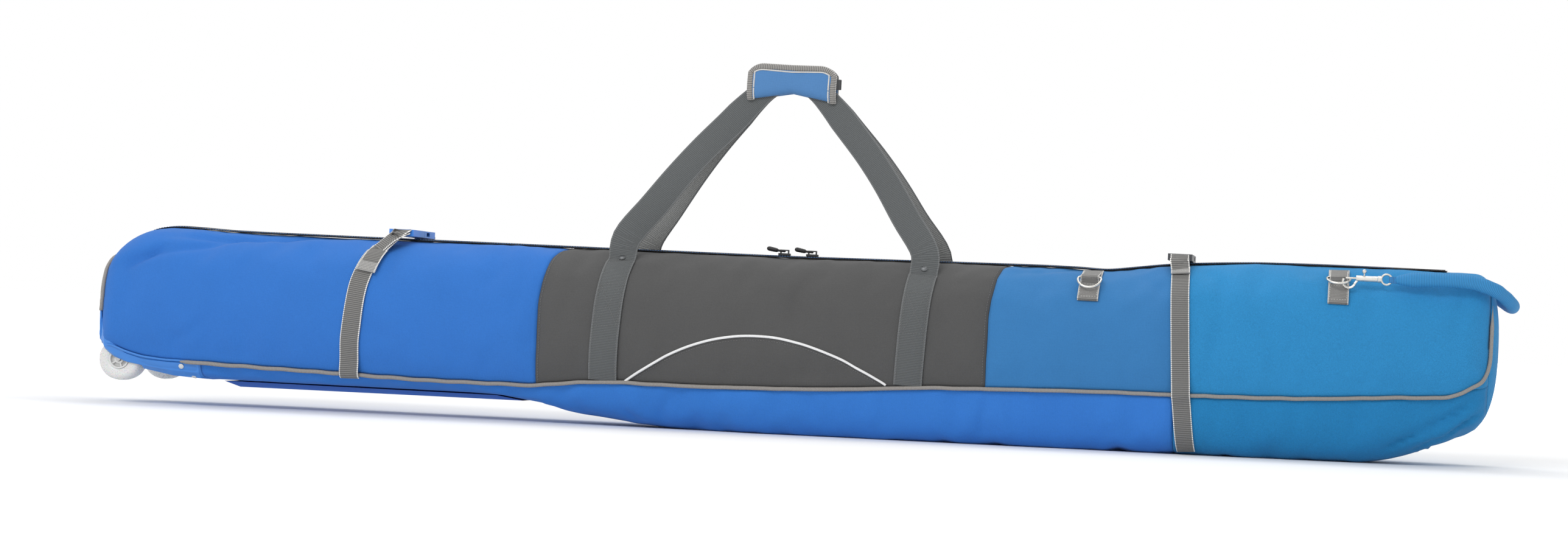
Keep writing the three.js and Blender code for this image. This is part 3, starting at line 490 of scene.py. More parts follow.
def new_object(name, points, faces, material, smooth=True):
    """A mesh object from points and faces, wound so that its faces point out."""
    mesh = bpy.data.meshes.new(name)
    mesh.from_pydata([tuple(map(float, p)) for p in points], [], faces)
    mesh.materials.append(material)
    made = bmesh.new()
    made.from_mesh(mesh)
    bmesh.ops.recalc_face_normals(made, faces=made.faces)
    made.to_mesh(mesh)
    made.free()
    if smooth:
        mesh.shade_smooth()
    else:
        mesh.shade_flat()
    made_object = bpy.data.objects.new(name, mesh)
    bpy.context.scene.collection.objects.link(made_object)
    return made_object


def set_uv(target, uv_of_vertex):
    """Texture coordinates from one (u, v) per vertex."""
    layer = target.data.uv_layers.new(name="UVMap")
    index = np.zeros(len(target.data.loops), int)
    target.data.loops.foreach_get("vertex_index", index)
    layer.data.foreach_set("uv", np.asarray(uv_of_vertex, np.float32)[index].ravel())


def slab(name, outer, inner, material, uv=None):
    """A closed sheet between two grids of points of one size; uv is a grid of (u, v)."""
    rows, columns = outer.shape[:2]
    points = np.concatenate([outer.reshape(-1, 3), inner.reshape(-1, 3)])
    deep = rows * columns

    def at(i, j):
        return i * columns + j

    faces = []
    for i in range(rows - 1):
        for j in range(columns - 1):
            quad = (at(i, j), at(i, j + 1), at(i + 1, j + 1), at(i + 1, j))
            faces.append(quad)
            faces.append(tuple(deep + k for k in reversed(quad)))
    rim = [at(0, j) for j in range(columns)] + [at(i, columns - 1) for i in range(1, rows)]
    rim += [at(rows - 1, j) for j in range(columns - 2, -1, -1)]
    rim += [at(i, 0) for i in range(rows - 2, 0, -1)]
    for a, b in zip(rim, rim[1:] + rim[:1]):
        faces.append((a, deep + a, deep + b, b))
    made = new_object(name, points, faces, material)
    if uv is not None:
        set_uv(made, np.concatenate([uv.reshape(-1, 2)] * 2))
    return made


def lengths(points):
    """Running length along a line of points."""
    return np.concatenate([[0], np.cumsum(np.linalg.norm(np.diff(points, axis=0), axis=1))])


def value_at(place, run, values):
    """The values along a line, at a running length."""
    return np.array([np.interp(place, run, values[:, c]) for c in range(3)])


def frames_along(points, closed, up):
    """Side and rise directions at each point of a line."""
    if closed:
        along = np.roll(points, -1, axis=0) - np.roll(points, 1, axis=0)
    else:
        along = np.gradient(points, axis=0)
    along /= np.maximum(np.linalg.norm(along, axis=1, keepdims=True), 1e-9)
    up = np.broadcast_to(np.asarray(up, float), points.shape)
    side = np.cross(up, along)
    side /= np.maximum(np.linalg.norm(side, axis=1, keepdims=True), 1e-9)
    return side, np.cross(along, side)


def sweep(name, points, outline, material, closed=False, up=UP, scale=1.0, across=None):
    """A closed bar whose outline of (side, rise) pairs runs along the points."""
    points = np.asarray(points, float)
    outline = np.asarray(outline, float)
    side, rise = frames_along(points, closed, up)
    scale = np.broadcast_to(np.asarray(scale, float), len(points))[:, None, None]
    rings = (
        points[:, None]
        + scale * outline[None, :, :1] * side[:, None]
        + scale * outline[None, :, 1:] * rise[:, None]
    )
    count, around = rings.shape[:2]
    faces = tube_faces(count, around, closed)
    if not closed:
        faces += end_faces(count, around)
    made = new_object(name, rings.reshape(-1, 3), faces, material)
    if across is None:
        across = np.linspace(0, 1, around, endpoint=False)
    u, v = np.meshgrid(across, lengths(points))
    set_uv(made, np.stack([u, v], axis=2).reshape(-1, 2))
    return made


def lofted(name, rings, material):
    """A closed solid through rings of points of one size, closed by a face at each end."""
    count, around = rings.shape[:2]
    faces = end_faces(count, around) + tube_faces(count, around)
    made = new_object(name, rings.reshape(-1, 3), faces, material)
    set_uv(made, rings.reshape(-1, 3)[:, 1:])
    return made


def circle(radius, sides=12):
    angles = np.linspace(0, 2 * math.pi, sides, endpoint=False)
    return np.stack([radius * np.cos(angles), radius * np.sin(angles)], axis=1)


def flat_outline(width, thick, sides=5):
    """A webbing's section: flat faces between two rounded edges."""
    ends = np.linspace(-math.pi / 2, math.pi / 2, sides)
    half = thick / 2
    right = [(width / 2 - half + half * math.cos(a), half * math.sin(a)) for a in ends]
    return np.array(right + [(-x, -z) for x, z in right])


def strap(name, points, out, width, material, thick=WEBBING, scale=1.0):
    """Flat webbing along the points, with its face towards out."""
    outline = flat_outline(width, thick)
    across = outline[:, 0] / width + 0.5 + 2.0 * (outline[:, 1] < 0)
    return sweep(name, points, outline, material, up=out, scale=scale, across=across)


def spline(knots, count):
    """A smooth line through the knots (Catmull-Rom)."""
    knots = np.asarray(knots, float)
    padded = np.concatenate([2 * knots[:1] - knots[1:2], knots, 2 * knots[-1:] - knots[-2:-1]])
    line = []
    for t in np.linspace(0, len(knots) - 1 - 1e-9, count):
        i, f = int(t), t - int(t)
        a, b, c, d = padded[i:i + 4]
        line.append(0.5 * (
            2 * b + (c - a) * f + (2 * a - 5 * b + 4 * c - d) * f ** 2 + (3 * b - a - 3 * c + d) * f ** 3
        ))
    return np.array(line)


def turned(name, profile, centre, axis, material, segments=48):
    """A solid of revolution from (radius, height) points, about an axis through centre."""
    angles = np.linspace(0, 2 * math.pi, segments, endpoint=False)
    points, faces = [], []
    turn = Vector((0, 0, 1)).rotation_difference(Vector(axis)).to_matrix()
    closed = tuple(profile[0]) == tuple(profile[-1])
    profile = profile[:-1] if closed else profile
    for angle in angles:
        for radius, height in profile:
            at = turn @ Vector((radius * math.cos(angle), radius * math.sin(angle), height))
            points.append(np.array(at) + np.array(centre))
    rows = len(profile)
    for i in range(segments):
        n = (i + 1) % segments
        for j in range(rows if closed else rows - 1):
            k = (j + 1) % rows
            faces.append((i * rows + j, n * rows + j, n * rows + k, i * rows + k))
    made = new_object(name, points, faces, material)
    merged = bmesh.new()
    merged.from_mesh(made.data)
    bmesh.ops.remove_doubles(merged, verts=merged.verts, dist=1e-6)
    bmesh.ops.recalc_face_normals(merged, faces=merged.faces)
    merged.to_mesh(made.data)
    merged.free()
    made.data.shade_smooth()
    made.data.set_sharp_from_angle(angle=math.radians(40))
    return made


def bevel_edges(target, width, angle, segments):
    """Rounds the edges that turn by more than an angle in degrees."""
    bevel = target.modifiers.new("bevel", "BEVEL")
    bevel.width = width
    bevel.segments = segments
    bevel.limit_method = "ANGLE"
    bevel.angle_limit = math.radians(angle)
    bevel.harden_normals = True


def prism(name, outline, height, place, material, bevel=0.6 * MM):
    """A flat outline of (x, y) points raised along Z, moved by a matrix."""
    count = len(outline)
    points = [place @ Vector((x, y, z)) for z in (0, height) for x, y in outline]
    faces = [tuple(range(count)), tuple(range(count, 2 * count))]
    faces += [(i, (i + 1) % count, count + (i + 1) % count, count + i) for i in range(count)]
    made = new_object(name, points, faces, material)
    bevel_edges(made, bevel, 30, 2)
    return made


def joined(name, parts):
    """Several objects as one."""
    for part in parts:
        apply_modifiers(part)
    first = parts[0]
    bpy.ops.object.select_all(action="DESELECT")
    for part in parts:
        part.select_set(True)
    bpy.context.view_layer.objects.active = first
    if len(parts) > 1:
        bpy.ops.object.join()
    first.name = name
    return first


def apply_modifiers(target):
    if not target.modifiers:
        return
    shaped = bpy.data.meshes.new_from_object(target.evaluated_get(bpy.context.evaluated_depsgraph_get()))
    target.modifiers.clear()
    target.data = shaped


def cut(target, cutter):
    """Cuts one object's shape out of another."""
    bpy.context.view_layer.update()
    knife = target.modifiers.new("cut", "BOOLEAN")
    knife.operation = "DIFFERENCE"
    knife.solver = "EXACT"
    knife.object = cutter
    apply_modifiers(target)
    bpy.data.objects.remove(cutter)


def attach(piece, *nodes, slot=None, body="bag"):
    """The piece rides on a body and stands for the CAD nodes."""
    if nodes:
        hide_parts(*nodes)
    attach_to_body(piece, body)
    return piece


def stitches(name, line, out, material, length=2.6 * MM, pitch=3.6 * MM, radius=0.32 * MM):
    """A row of sewn thread along a line; out is the way out of the fabric at each point."""
    line = np.asarray(line, float)
    run = lengths(line)
    starts = np.arange(pitch / 2, run[-1] - length, pitch)
    out = np.broadcast_to(np.asarray(out, float), line.shape)
    points, faces = [], []
    shape = [  # share of the length, height and thickness in radii
        (0, -0.6, 0.3), (0.25, 0.5, 0.9), (0.5, 0.9, 1), (0.75, 0.5, 0.9), (1, -0.6, 0.3),
    ]
    tube = tube_faces(len(shape), 4) + end_faces(len(shape), 4)
    for start in starts:
        places = [value_at(start + share * length, run, line) for share, height, fat in shape]
        lift = value_at(start, run, out)
        along = places[-1] - places[0]
        along /= np.linalg.norm(along)
        side = np.cross(along, lift)
        base = len(points)
        for place, (share, height, fat) in zip(places, shape):
            centre = place + lift * height * radius
            for turn in np.arange(4) * math.pi / 2:
                points.append(centre + fat * radius * (math.cos(turn) * side + math.sin(turn) * lift))
        faces += [tuple(base + k for k in face) for face in tube]
    return new_object(name, points, faces, material)


# ------------------------------------------------------------------ materials

def linear(rgb):
    """Screen colour, 0 to 255, as the light values that a shader takes."""
    shares = [c / 255 for c in rgb]
    return [s / 12.92 if s <= 0.04045 else ((s + 0.055) / 1.055) ** 2.4 for s in shares] + [1.0]


class Look:
    """A material and short ways to write its nodes."""

    def __init__(self, name, roughness, metallic=0.0):
        self.material = bpy.data.materials.new(name)
        self.material.use_nodes = True
        self.tree = self.material.node_tree
        self.shader = self.tree.nodes["Principled BSDF"]
        self.shader.inputs["Roughness"].default_value = roughness
        self.shader.inputs["Metallic"].default_value = metallic
        coordinates = self.tree.nodes.new("ShaderNodeTexCoord")
        self.uv = coordinates.outputs["UV"]
        self.place = coordinates.outputs["Object"]

    def node(self, kind, output, settings=(), **inputs):
        made = self.tree.nodes.new(kind)
        for key, value in dict(settings).items():
            setattr(made, key, value)
        for key, value in inputs.items():
            self.feed(made.inputs[int(key[1:]) if key[0] == "_" else key], value)
        return made.outputs[output]

    def feed(self, socket, value):
        if isinstance(value, bpy.types.NodeSocket):
            self.tree.links.new(value, socket)
        else:
            socket.default_value = value

    def math(self, operation, a, b=0.0):
        return self.node("ShaderNodeMath", 0, {"operation": operation}, _0=a, _1=b)

    def wave(self, direction, pitch):
        """Ribs at a pitch across U (X) or V (Y)."""
        settings = {"bands_direction": direction, "wave_profile": "SIN"}
        scale = math.pi / 10 / pitch
        return self.node("ShaderNodeTexWave", "Fac", settings, Vector=self.uv, Scale=scale)

    def noise(self, size, detail=2.0):
        return self.node("ShaderNodeTexNoise", "Fac", Vector=self.place, Scale=1 / size, Detail=detail)

    def around_one(self, *parts):
        """1 plus each (field, amount), with the field centred on zero."""
        total = 1.0
        for field, amount in parts:
            centred = self.math("SUBTRACT", field, 0.5)
            total = self.math("ADD", self.math("MULTIPLY", centred, 2 * amount), total)
        return total

    def shade(self, colour, value):
        return self.node("ShaderNodeHueSaturation", "Color", Color=colour, Value=value)

    def mix(self, share, a, b):
        settings = {"data_type": "RGBA"}
        return self.node("ShaderNodeMix", 2, settings, _0=share, _6=a, _7=b)

    def bump(self, height, depth, strength=1.0):
        normal = self.node("ShaderNodeBump", 0, Height=height, Distance=depth, Strength=strength)
        self.feed(self.shader.inputs["Normal"], normal)

    def roughen(self, field, amount, least):
        """Roughness that runs from least upwards with the field."""
        rough = self.math("ADD", self.math("MULTIPLY", field, amount), least)
        self.feed(self.shader.inputs["Roughness"], rough)

    def finish(self, colour):
        self.feed(self.shader.inputs["Base Color"], colour)
        return self.material


def fabric(name, rgb, speckle=0.05, pitch=1.3 * MM, depth=0.16 * MM):
    """Woven polyester: fine plain weave, speckled yarn and slow unevenness of the dye."""
    look = Look(name, 0.82)
    look.shader.inputs["Sheen Weight"].default_value = 0.08
    look.shader.inputs["Sheen Roughness"].default_value = 0.45
    look.shader.inputs["Specular IOR Level"].default_value = 0.25
    weave = look.math("MULTIPLY", look.wave("X", pitch), look.wave("Y", pitch))
    grain = look.noise(1.5 * MM, 3.0)
    broad = look.noise(70 * MM)
    value = look.around_one((grain, speckle * 2.2), (broad, 0.06), (weave, 0.035))
    look.bump(look.math("ADD", weave, look.math("MULTIPLY", grain, 0.8)), depth)
    return look.finish(look.shade(linear(rgb), value))


def webbing(name, rgb, width, edge_rgb=None, rib=2.1 * MM, edge=0.055, contrast=0.34, inner_rgb=None):
    """Ribbed webbing with bound edges; U runs 0 to 1 across its face, 2 to 3 across its back, and V
    in metres along it."""
    look = Look(name, 0.75)
    look.shader.inputs["Sheen Weight"].default_value = 0.15
    ribs = look.wave("Y", rib)
    yarns = look.wave("X", 1.6 * MM / width)
    grain = look.noise(1.2 * MM, 2.0)
    value = look.around_one((ribs, contrast), (yarns, 0.06), (grain, 0.12))
    across = look.node("ShaderNodeSeparateXYZ", 0, _0=look.uv)
    colour = linear(rgb)
    if inner_rgb:
        colour = look.mix(look.math("GREATER_THAN", across, 1.5), colour, linear(inner_rgb))
    colour = look.shade(colour, value)
    if edge_rgb:
        off_centre = look.math("ABSOLUTE", look.math("SUBTRACT", look.math("FRACT", across), 0.5))
        at_edge = look.math("GREATER_THAN", off_centre, 0.5 - edge)
        colour = look.mix(at_edge, colour, look.shade(linear(edge_rgb), value))
    height = look.math("ADD", ribs, look.math("MULTIPLY", yarns, 0.4))
    look.bump(height, 0.35 * MM)
    return look.finish(colour)


def cord(name, rgb, pitch=1.8 * MM, contrast=0.15):
    """Fabric-covered cord: ribs round it and a speckle of yarn."""
    look = Look(name, 0.7)
    ribs = look.wave("Y", pitch)
    grain = look.noise(1.0 * MM)
    look.bump(ribs, 0.3 * MM)
    return look.finish(look.shade(linear(rgb), look.around_one((ribs, contrast), (grain, 0.15))))


def plastic(name, rgb, roughness):
    """Moulded plastic: fine spark-eroded grain, faint flow marks, paler worn edges and painted shade in
    hollows.
    """
    look = Look(name, roughness)
    grain = look.noise(0.6 * MM, 2.0)
    flow = look.noise(25 * MM, 3.0)
    look.bump(grain, 0.03 * MM)
    look.roughen(flow, 0.2, roughness - 0.1)
    # Pointiness makes convex edges paler as wear and makes concave hollows darker as painted shade.
    edges = look.node("ShaderNodeNewGeometry", "Pointiness")
    edge_wear_and_hollow_shade = look.math("MULTIPLY", look.math("SUBTRACT", edges, 0.5), 1.2)
    value = look.math("ADD", look.around_one((flow, 0.05), (grain, 0.03)), edge_wear_and_hollow_shade)
    return look.finish(look.shade(linear(rgb), value))


def metal(name, rgb, roughness=0.24):
    """Plated cast metal: soft casting unevenness and a few dull patches."""
    look = Look(name, roughness, 1.0)
    cast = look.noise(3 * MM, 3.0)
    dull = look.noise(9 * MM, 2.0)
    look.bump(cast, 0.05 * MM, 0.5)
    look.roughen(dull, 0.3, roughness - 0.1)
    return look.finish(look.shade(linear(rgb), look.around_one((dull, 0.12))))


def milky(name, rgb):
    """Cast urethane: milky, a little clear, and scuffed on the tread."""
    look = Look(name, 0.3)
    look.shader.inputs["Transmission Weight"].default_value = 0.25
    look.shader.inputs["Subsurface Weight"].default_value = 0.3
    look.shader.inputs["Subsurface Scale"].default_value = 4 * MM
    scuff = look.noise(2 * MM, 4.0)
    look.bump(scuff, 0.05 * MM)
    look.roughen(scuff, 0.3, 0.15)
    return look.finish(look.shade(linear(rgb), look.around_one((scuff, 0.05))))


ROYAL = fabric("royal_blue_canvas", (46, 110, 190), 0.05)
# A lighter copy of the royal canvas for the underside: painted light that offsets the shade under the
# bag.
ROYAL_LIT_UNDERSIDE = fabric("royal_canvas_painted_light_under", (50, 118, 200), 0.05)
# A darker copy of the teal canvas for the underside of the nose: painted shade.
TEAL_SHADED_UNDERSIDE = fabric("teal_canvas_painted_shade_under", (30, 122, 178), 0.12, 1.6 * MM, 0.22 * MM)
STEEL = fabric("steel_blue_canvas", (52, 117, 174), 0.05)
TEAL = fabric("teal_blue_canvas", (40, 130, 186), 0.12, 1.6 * MM, 0.22 * MM)
GREY = fabric("grey_canvas", (80, 80, 80), 0.06)
WRAP_BLUE = fabric("wrap_canvas", (76, 122, 172), 0.04)
LINING = fabric("black_tape_weave", (26, 26, 28), 0.03, 0.9 * MM)
STRAP_GREY = webbing("compression_webbing", (108, 107, 105), 25 * MM, (214, 212, 208), 2.6 * MM,
                     contrast=0.45)
TAB_GREY = webbing("tab_webbing", (122, 121, 119), 28 * MM, (190, 188, 184))
HANDLE_GREY = webbing("handle_webbing", (82, 85, 86), 38 * MM, (100, 102, 103), 2.2 * MM, 0.05, 0.24,
                      inner_rgb=(128, 129, 128))
TAB_DARK = webbing("wrap_tab_webbing", (58, 59, 60), 14 * MM)
BINDING = webbing("binding_tape", (128, 126, 123), 9.5 * MM, (160, 158, 155), 2.4 * MM, 0.1, 0.5)
PIPING = cord("piping_cord", (142, 138, 134))
WHITE_PIPING = cord("white_piping", (236, 236, 236), 1.5 * MM, 0.04)
TOW_BLUE = cord("tow_sleeve", (38, 124, 180), 2.2 * MM, 0.22)
PULL_CORD = cord("pull_cord", (30, 30, 32), 1.2 * MM)
THREAD_BLUE = cord("blue_thread", (86, 144, 214), 0.8 * MM)
THREAD_GREY = cord("grey_thread", (128, 128, 128), 0.8 * MM)
THREAD_WHITE = cord("white_thread", (214, 212, 208), 0.8 * MM)
MOULDED_BLUE = plastic("moulded_blue", (52, 120, 196), 0.36)
RUNNER_BLUE = plastic("runner_blue", (34, 92, 176), 0.42)
BUCKLE_BLUE = plastic("buckle_blue", (58, 120, 198), 0.34)
BUCKLE_GREY = plastic("buckle_grey", (58, 60, 64), 0.34)
HUB_GREY = plastic("hub_grey", (198, 198, 196), 0.4)
RUBBER = plastic("pull_rubber", (24, 24, 26), 0.6)
TEETH = plastic("zip_teeth", (40, 40, 43), 0.35)
ZINC = metal("plated_zinc", (214, 212, 206))
STEEL_ROD = metal("axle_steel", (186, 186, 186), 0.3)
RIVET_GREY = metal("rivet_grey", (120, 122, 124), 0.45)
SLIDER_BLACK = plastic("slider_black", (26, 26, 28), 0.5)
HEM_GREY = webbing("hem_webbing", (148, 147, 145), 25 * MM, (204, 202, 198))
TOW_WEB = webbing("tow_webbing", (40, 112, 168), 8.5 * MM)
TYRE = milky("milky_urethane", (236, 236, 234))


# ------------------------------------------------------------------ fabric body

NOSE_CORNER = 52 * MM
NOSE_CORNER_V = 0.31
SEAM_GAP = 0.2 * MM
END_SKIN = 1.5 * MM
END_STEP = 0.8 * MM
TIP_INSET = 0.5 * MM
FACE_INSET = 0.6 * MM
PIPED_SEAM = 0.0015  # half the opening of a seam below its piping, in v
CLOSE_SEAM = 0.0004  # half the opening of the seam that no piping covers, in v


def below_nose_piping(xs, vs):
    """The corner outside the piping, where the nose runs on without a seam."""
    return (xs > NOSE_SEAM - NOSE_CORNER) & (vs < NOSE_CORNER_V)


def patch(name, rows, start, end, thick, material, step=4.5 * MM, proud=0.0, tuck=TUCK):
    """A sewn piece of the skin: rows of (side, v) between two seam lines x = start(v) and end(v)."""
    count = max(4, round(abs(end(0.5) - start(0.5)) / step))
    shares = np.linspace(0, 1, count + 1)
    points, normals, xs = [], [], []
    for side, v in rows:
        x = start(v) + (end(v) - start(v)) * shares
        points.append(surface(x, v, side))
        normals.append(way_out(x, v, side))
        xs.append(x)
    points, normals, xs = np.array(points), np.array(normals), np.array(xs)
    vs = np.array([v for side, v in rows])[:, None]
    across = lengths(points[:, count // 2])
    to_seam = np.minimum(across, across[-1] - across)[:, None]
    to_end = np.minimum(xs - xs[:, :1], xs[:, -1:] - xs)
    drop = -tuck * np.maximum(np.exp(-(to_seam / TUCK_WIDTH) ** 2), np.exp(-(to_end / TUCK_WIDTH) ** 2))
    drop = np.where(below_nose_piping(xs, vs), 0.0, drop)
    outer = points + (drop + proud)[..., None] * normals
    inner = outer - thick * normals
    uv = np.stack([xs, np.broadcast_to(across[:, None], xs.shape)], axis=2)
    return slab(name, outer, inner, material, uv)


def side_rows(side, lowest):
    highest = 1 - PIPED_SEAM
    return [(side, v) for v in np.linspace(lowest, highest, round((highest - lowest) / 0.022))]


def under_rows(gap=0.002, count=22):
    vs = np.linspace(-gap, -1, count)
    return [(-1, v) for v in vs] + [(1, v) for v in vs[-2::-1]]


def leaning(x, clear=0.0):
    return lambda v: x + clear + float(lean(v))


def upright(x, clear=0.0):
    return lambda v: x + clear


def build_panels():
    gap = SEAM_GAP
    plan = [
        ("wheel_end", upright(WHEEL_SEAM, gap), leaning(GREY_START, -gap), ROYAL, "royal_blue"),
        ("centre", leaning(GREY_START, gap), leaning(GREY_END, -gap), GREY, "grey"),
        ("nose_side", leaning(GREY_END, gap), upright(HOOD_SEAM, -gap), STEEL, "steel_blue"),
        ("nose_hood", upright(HOOD_SEAM, gap), upright(NOSE_SEAM, -gap), TEAL, "teal_blue"),
    ]
    for side, word in SIDES.items():
        for name, start, end, material, colour in plan:
            rows = side_rows(side, CLOSE_SEAM if name == "nose_hood" else PIPED_SEAM)
            piece = patch(f"{word}_panel_{name}_cloth", rows, start, end, SHELL, material)
            attach(piece, f"{word}_panel_{name}", slot=f"{colour}_fabric")


def build_underside():
    # The main gusset takes a lighter copy of the royal canvas: painted light on the underside.
    main = patch("bottom_gusset_cloth", under_rows(), upright(HOUSING_END, SEAM_GAP),
                 upright(HOOD_SEAM, -SEAM_GAP), SHELL, ROYAL_LIT_UNDERSIDE)
    attach(main, "bottom_gusset", slot="royal_blue_fabric")
    # The nose gusset takes a darker copy of the teal canvas: painted shade on the underside.
    nose = patch("nose_gusset_cloth", under_rows(gap=CLOSE_SEAM), upright(HOOD_SEAM, SEAM_GAP),
                 upright(NOSE_SEAM, -SEAM_GAP), SHELL, TEAL_SHADED_UNDERSIDE)
    attach(nose, "nose_gusset", slot="teal_blue_fabric")


def end_face(name, x, rows, facing, material, bulge=0.9 * MM, thick=1.5 * MM):
    """The closed end of the bag inside the last ring of the skin, slightly crowned."""
    ring = np.array([surface(x, v, side) for side, v in rows])
    centre = ring.mean(axis=0)
    shares = np.array([0.03, 0.2, 0.4, 0.6, 0.8, 0.92, 1.0])
    out = np.array([facing, 0, 0])
    face = [centre + s * (ring - centre) + bulge * (1 - s ** 2) * out for s in shares]
    back = [layer - thick * out for layer in face]
    return lofted(name, np.array(face + back[::-1]), material)


def build_housing():
    """A smooth moulded shell over the wheel housing, open where the wheels come through."""
    rows = under_rows(gap=0.001, count=26)
    shell = patch("wheel_housing_shell", rows, upright(WHEEL_TIP + 0.5 * MM),
                  upright(HOUSING_END, -SEAM_GAP), 3 * MM, MOULDED_BLUE, 3 * MM, proud=0.7 * MM)
    for side, word in SIDES.items():
        wheel = f"{word}_wheel_tyre"
        radius = (high(wheel).x - low(wheel).x) / 2 + 4.5 * MM
        half = (high(wheel).y - low(wheel).y) / 2 + 1.2 * MM
        drum = [(0, -half), (radius, -half), (radius, half), (0, half)]
        cut(shell, turned("drum", drum, middle(wheel), (0, 1, 0), MOULDED_BLUE, 64))
    attach(shell, slot="blue_plastic")
    profile = [(0, 0), (3.4, 0), (3.4, 0.5), (2.6, 1.2), (0, 1.6)]
    for side, word in SIDES.items():
        for i, (back, v) in enumerate(((25 * MM, -0.08), (12 * MM, -0.30))):
            x = HOUSING_END - back
            pin = turned(f"{word}_housing_rivet_{i}", [(r * MM, h * MM) for r, h in profile],
                         surface(x, v, side, 0.9 * MM), way_out(x, v, side), HUB_GREY, 24)
            attach(pin, slot="hub_plastic")


def housing_top():
    """The v of the housing's upper edge at the wheel end."""
    return v_at(WHEEL_TIP + 3 * MM, low("wheel_end_cap").z)


def build_housing_edge(side, above):
    """The housing's upturned lip at the wheel end, and the moulded bead along its edge."""
    word = SIDES[side]
    edge = upright(WHEEL_SEAM, 2 * MM)
    rows = [(side, v) for v in np.linspace(0.0, above, 16)]
    lip = patch(f"{word}_housing_end", rows, upright(WHEEL_TIP, TIP_INSET), edge, END_SKIN,
                MOULDED_BLUE, END_STEP, proud=0.7 * MM)
    attach(lip, slot="blue_plastic")
    down = np.linspace(above, 0.03, 14)
    along = np.arange(WHEEL_SEAM + 14 * MM, HOUSING_END, 5 * MM)
    x = np.concatenate([np.full(len(down), edge(0)), along])
    v = np.concatenate([down, np.full(len(along), 0.004)])
    points, outs = on_skin(x, v, side, 0.9 * MM)
    bead = sweep(f"{word}_housing_rim", spline(points, 160), circle(1.5 * MM, 10), MOULDED_BLUE,
                 up=spline(outs, 160))
    attach(bead, slot="blue_plastic")


def build_end_caps():
    """The rounded ends, closed at their tips."""
    above = housing_top()
    for side in SIDES:
        build_housing_edge(side, above)
    rising = np.linspace(above, 1, 30)
    rows = [(-1, v) for v in rising] + [(1, v) for v in rising[-2::-1]]
    floor = low("wheel_end_cap").z
    upper = [(side, v) for side, v in rows if surface(WHEEL_TIP, v, side)[2] > floor]
    face = end_face("wheel_end_face", WHEEL_TIP + FACE_INSET, upper, -1, ROYAL)
    attach(face, slot="royal_blue_fabric")
    rear = patch("wheel_end_cap_cloth", rows, upright(WHEEL_TIP, TIP_INSET),
                 upright(WHEEL_SEAM, -SEAM_GAP), END_SKIN, ROYAL, END_STEP)
    attach(rear, "wheel_end_cap", slot="royal_blue_fabric")
    vs = np.linspace(-1, 1, 70)
    rows = [(-1, v) for v in vs] + [(1, v) for v in np.linspace(1, -1, 70)[1:]]
    attach(end_face("nose_face", NOSE_TIP - FACE_INSET, rows[:-1], 1, TEAL), slot="teal_blue_fabric")
    nose = patch("nose_cap_cloth", rows, upright(NOSE_SEAM, SEAM_GAP), upright(NOSE_TIP, -TIP_INSET),
                 END_SKIN, TEAL, END_STEP, tuck=0.0)
    attach(nose, "nose_cap", slot="teal_blue_fabric")


build_panels()
build_underside()
build_end_caps()
build_housing()


# ------------------------------------------------------------------ webbing sewn to the bag

HANDLE_WIDTH = 38 * MM
STRAP_WIDTH = 25 * MM
STRAP_LIFT = SEWN + WEBBING / 2 + 0.7 * MM


def stitched(name, side, places, lift, material, slot):
    """A row of thread on the skin through (x, v) places."""
    line = spline(places, 12 * len(places))
    row = stitches(name, *on_skin(line[:, 0], line[:, 1], side, lift), material)
    return attach(row, slot=slot)


def sewn_box(name, side, centre, v0, v1, half, lift, material, slot, cross=True):
    """Thread round a box on a strap, with a cross in it."""
    corners = [(centre(v) + dx, v) for v, dx in ((v0, -half), (v0, half), (v1, half), (v1, -half))]
    edges = list(zip(corners, corners[1:] + corners[:1]))
    if cross:
        edges += [(corners[0], corners[2]), (corners[1], corners[3])]
    rows = []
    for i, (a, b) in enumerate(edges):
        x, v = np.linspace(a, b, 24).T
        rows.append(stitches(f"{name}_{i}", *on_skin(x, v, side, lift), material))
    return attach(joined(name, rows), slot=slot)


def between(start, end):
    """A line that runs from one x at v = 0 to another at v = 1."""
    return lambda v: start + (end - start) * np.clip(v, 0, 1)


# ------------------------------------------------------------------ carry handles

LOOP_SHAPE = [  # share of the half-span, share of the rise from the foot to the grip
    (0.985, 0.06), (0.84, 0.24), (0.70, 0.42), (0.56, 0.58),
    (0.41, 0.73), (0.26, 0.875), (0.13, 0.975), (0, 1),
]
LOOP_FOOT_Y = 47.8 * MM  # how far from the middle of the bag a loop leaves it
LOOP_TOP_Y = 1.7 * MM


def carry_band_line(side, part):
    """Middle line of a carry band as x(v), from the box of its CAD node."""
    node = f"{SIDES[side]}_carry_band_{part}"
    return between(low(node).x + HANDLE_WIDTH / 2, high(node).x - HANDLE_WIDTH / 2)


def half_handle(side, end):
    """Points and ways out from the piped seam up the panel and on to the middle of the grip."""
    part = "wheel_side" if end < 0 else "nose_side"
    node = f"{SIDES[side]}_carry_loop"
    line = carry_band_line(side, part)
    foot_z = low(node).z
    grip_z = high(node).z - HANDLE_WIDTH / 2
    middle_x = middle(node).x
    half_span = high(node).x - HANDLE_WIDTH / 2 - middle_x
    leave = v_at(float(line(1.0)), foot_z - 17 * MM, side)
    vs = np.linspace(0.012, leave, 22)
    points, outs = map(list, on_skin(line(vs), vs, side, STRAP_LIFT))
    for share_x, share_z in LOOP_SHAPE:
        z = foot_z + share_z * (grip_z - foot_z)
        rise = min(1.0, (z - foot_z) / (grip_z - foot_z - 50 * MM))
        y = side * (LOOP_FOOT_Y + rise * (LOOP_TOP_Y - LOOP_FOOT_Y))
        points.append(np.array([middle_x + end * share_x * half_span, y, z]))
        turn = 0.22 * math.sin(2.6 * share_z * math.pi) * (1 - share_z)
        outs.append(np.array([turn, side, 0.05 * side]))
    return points, outs


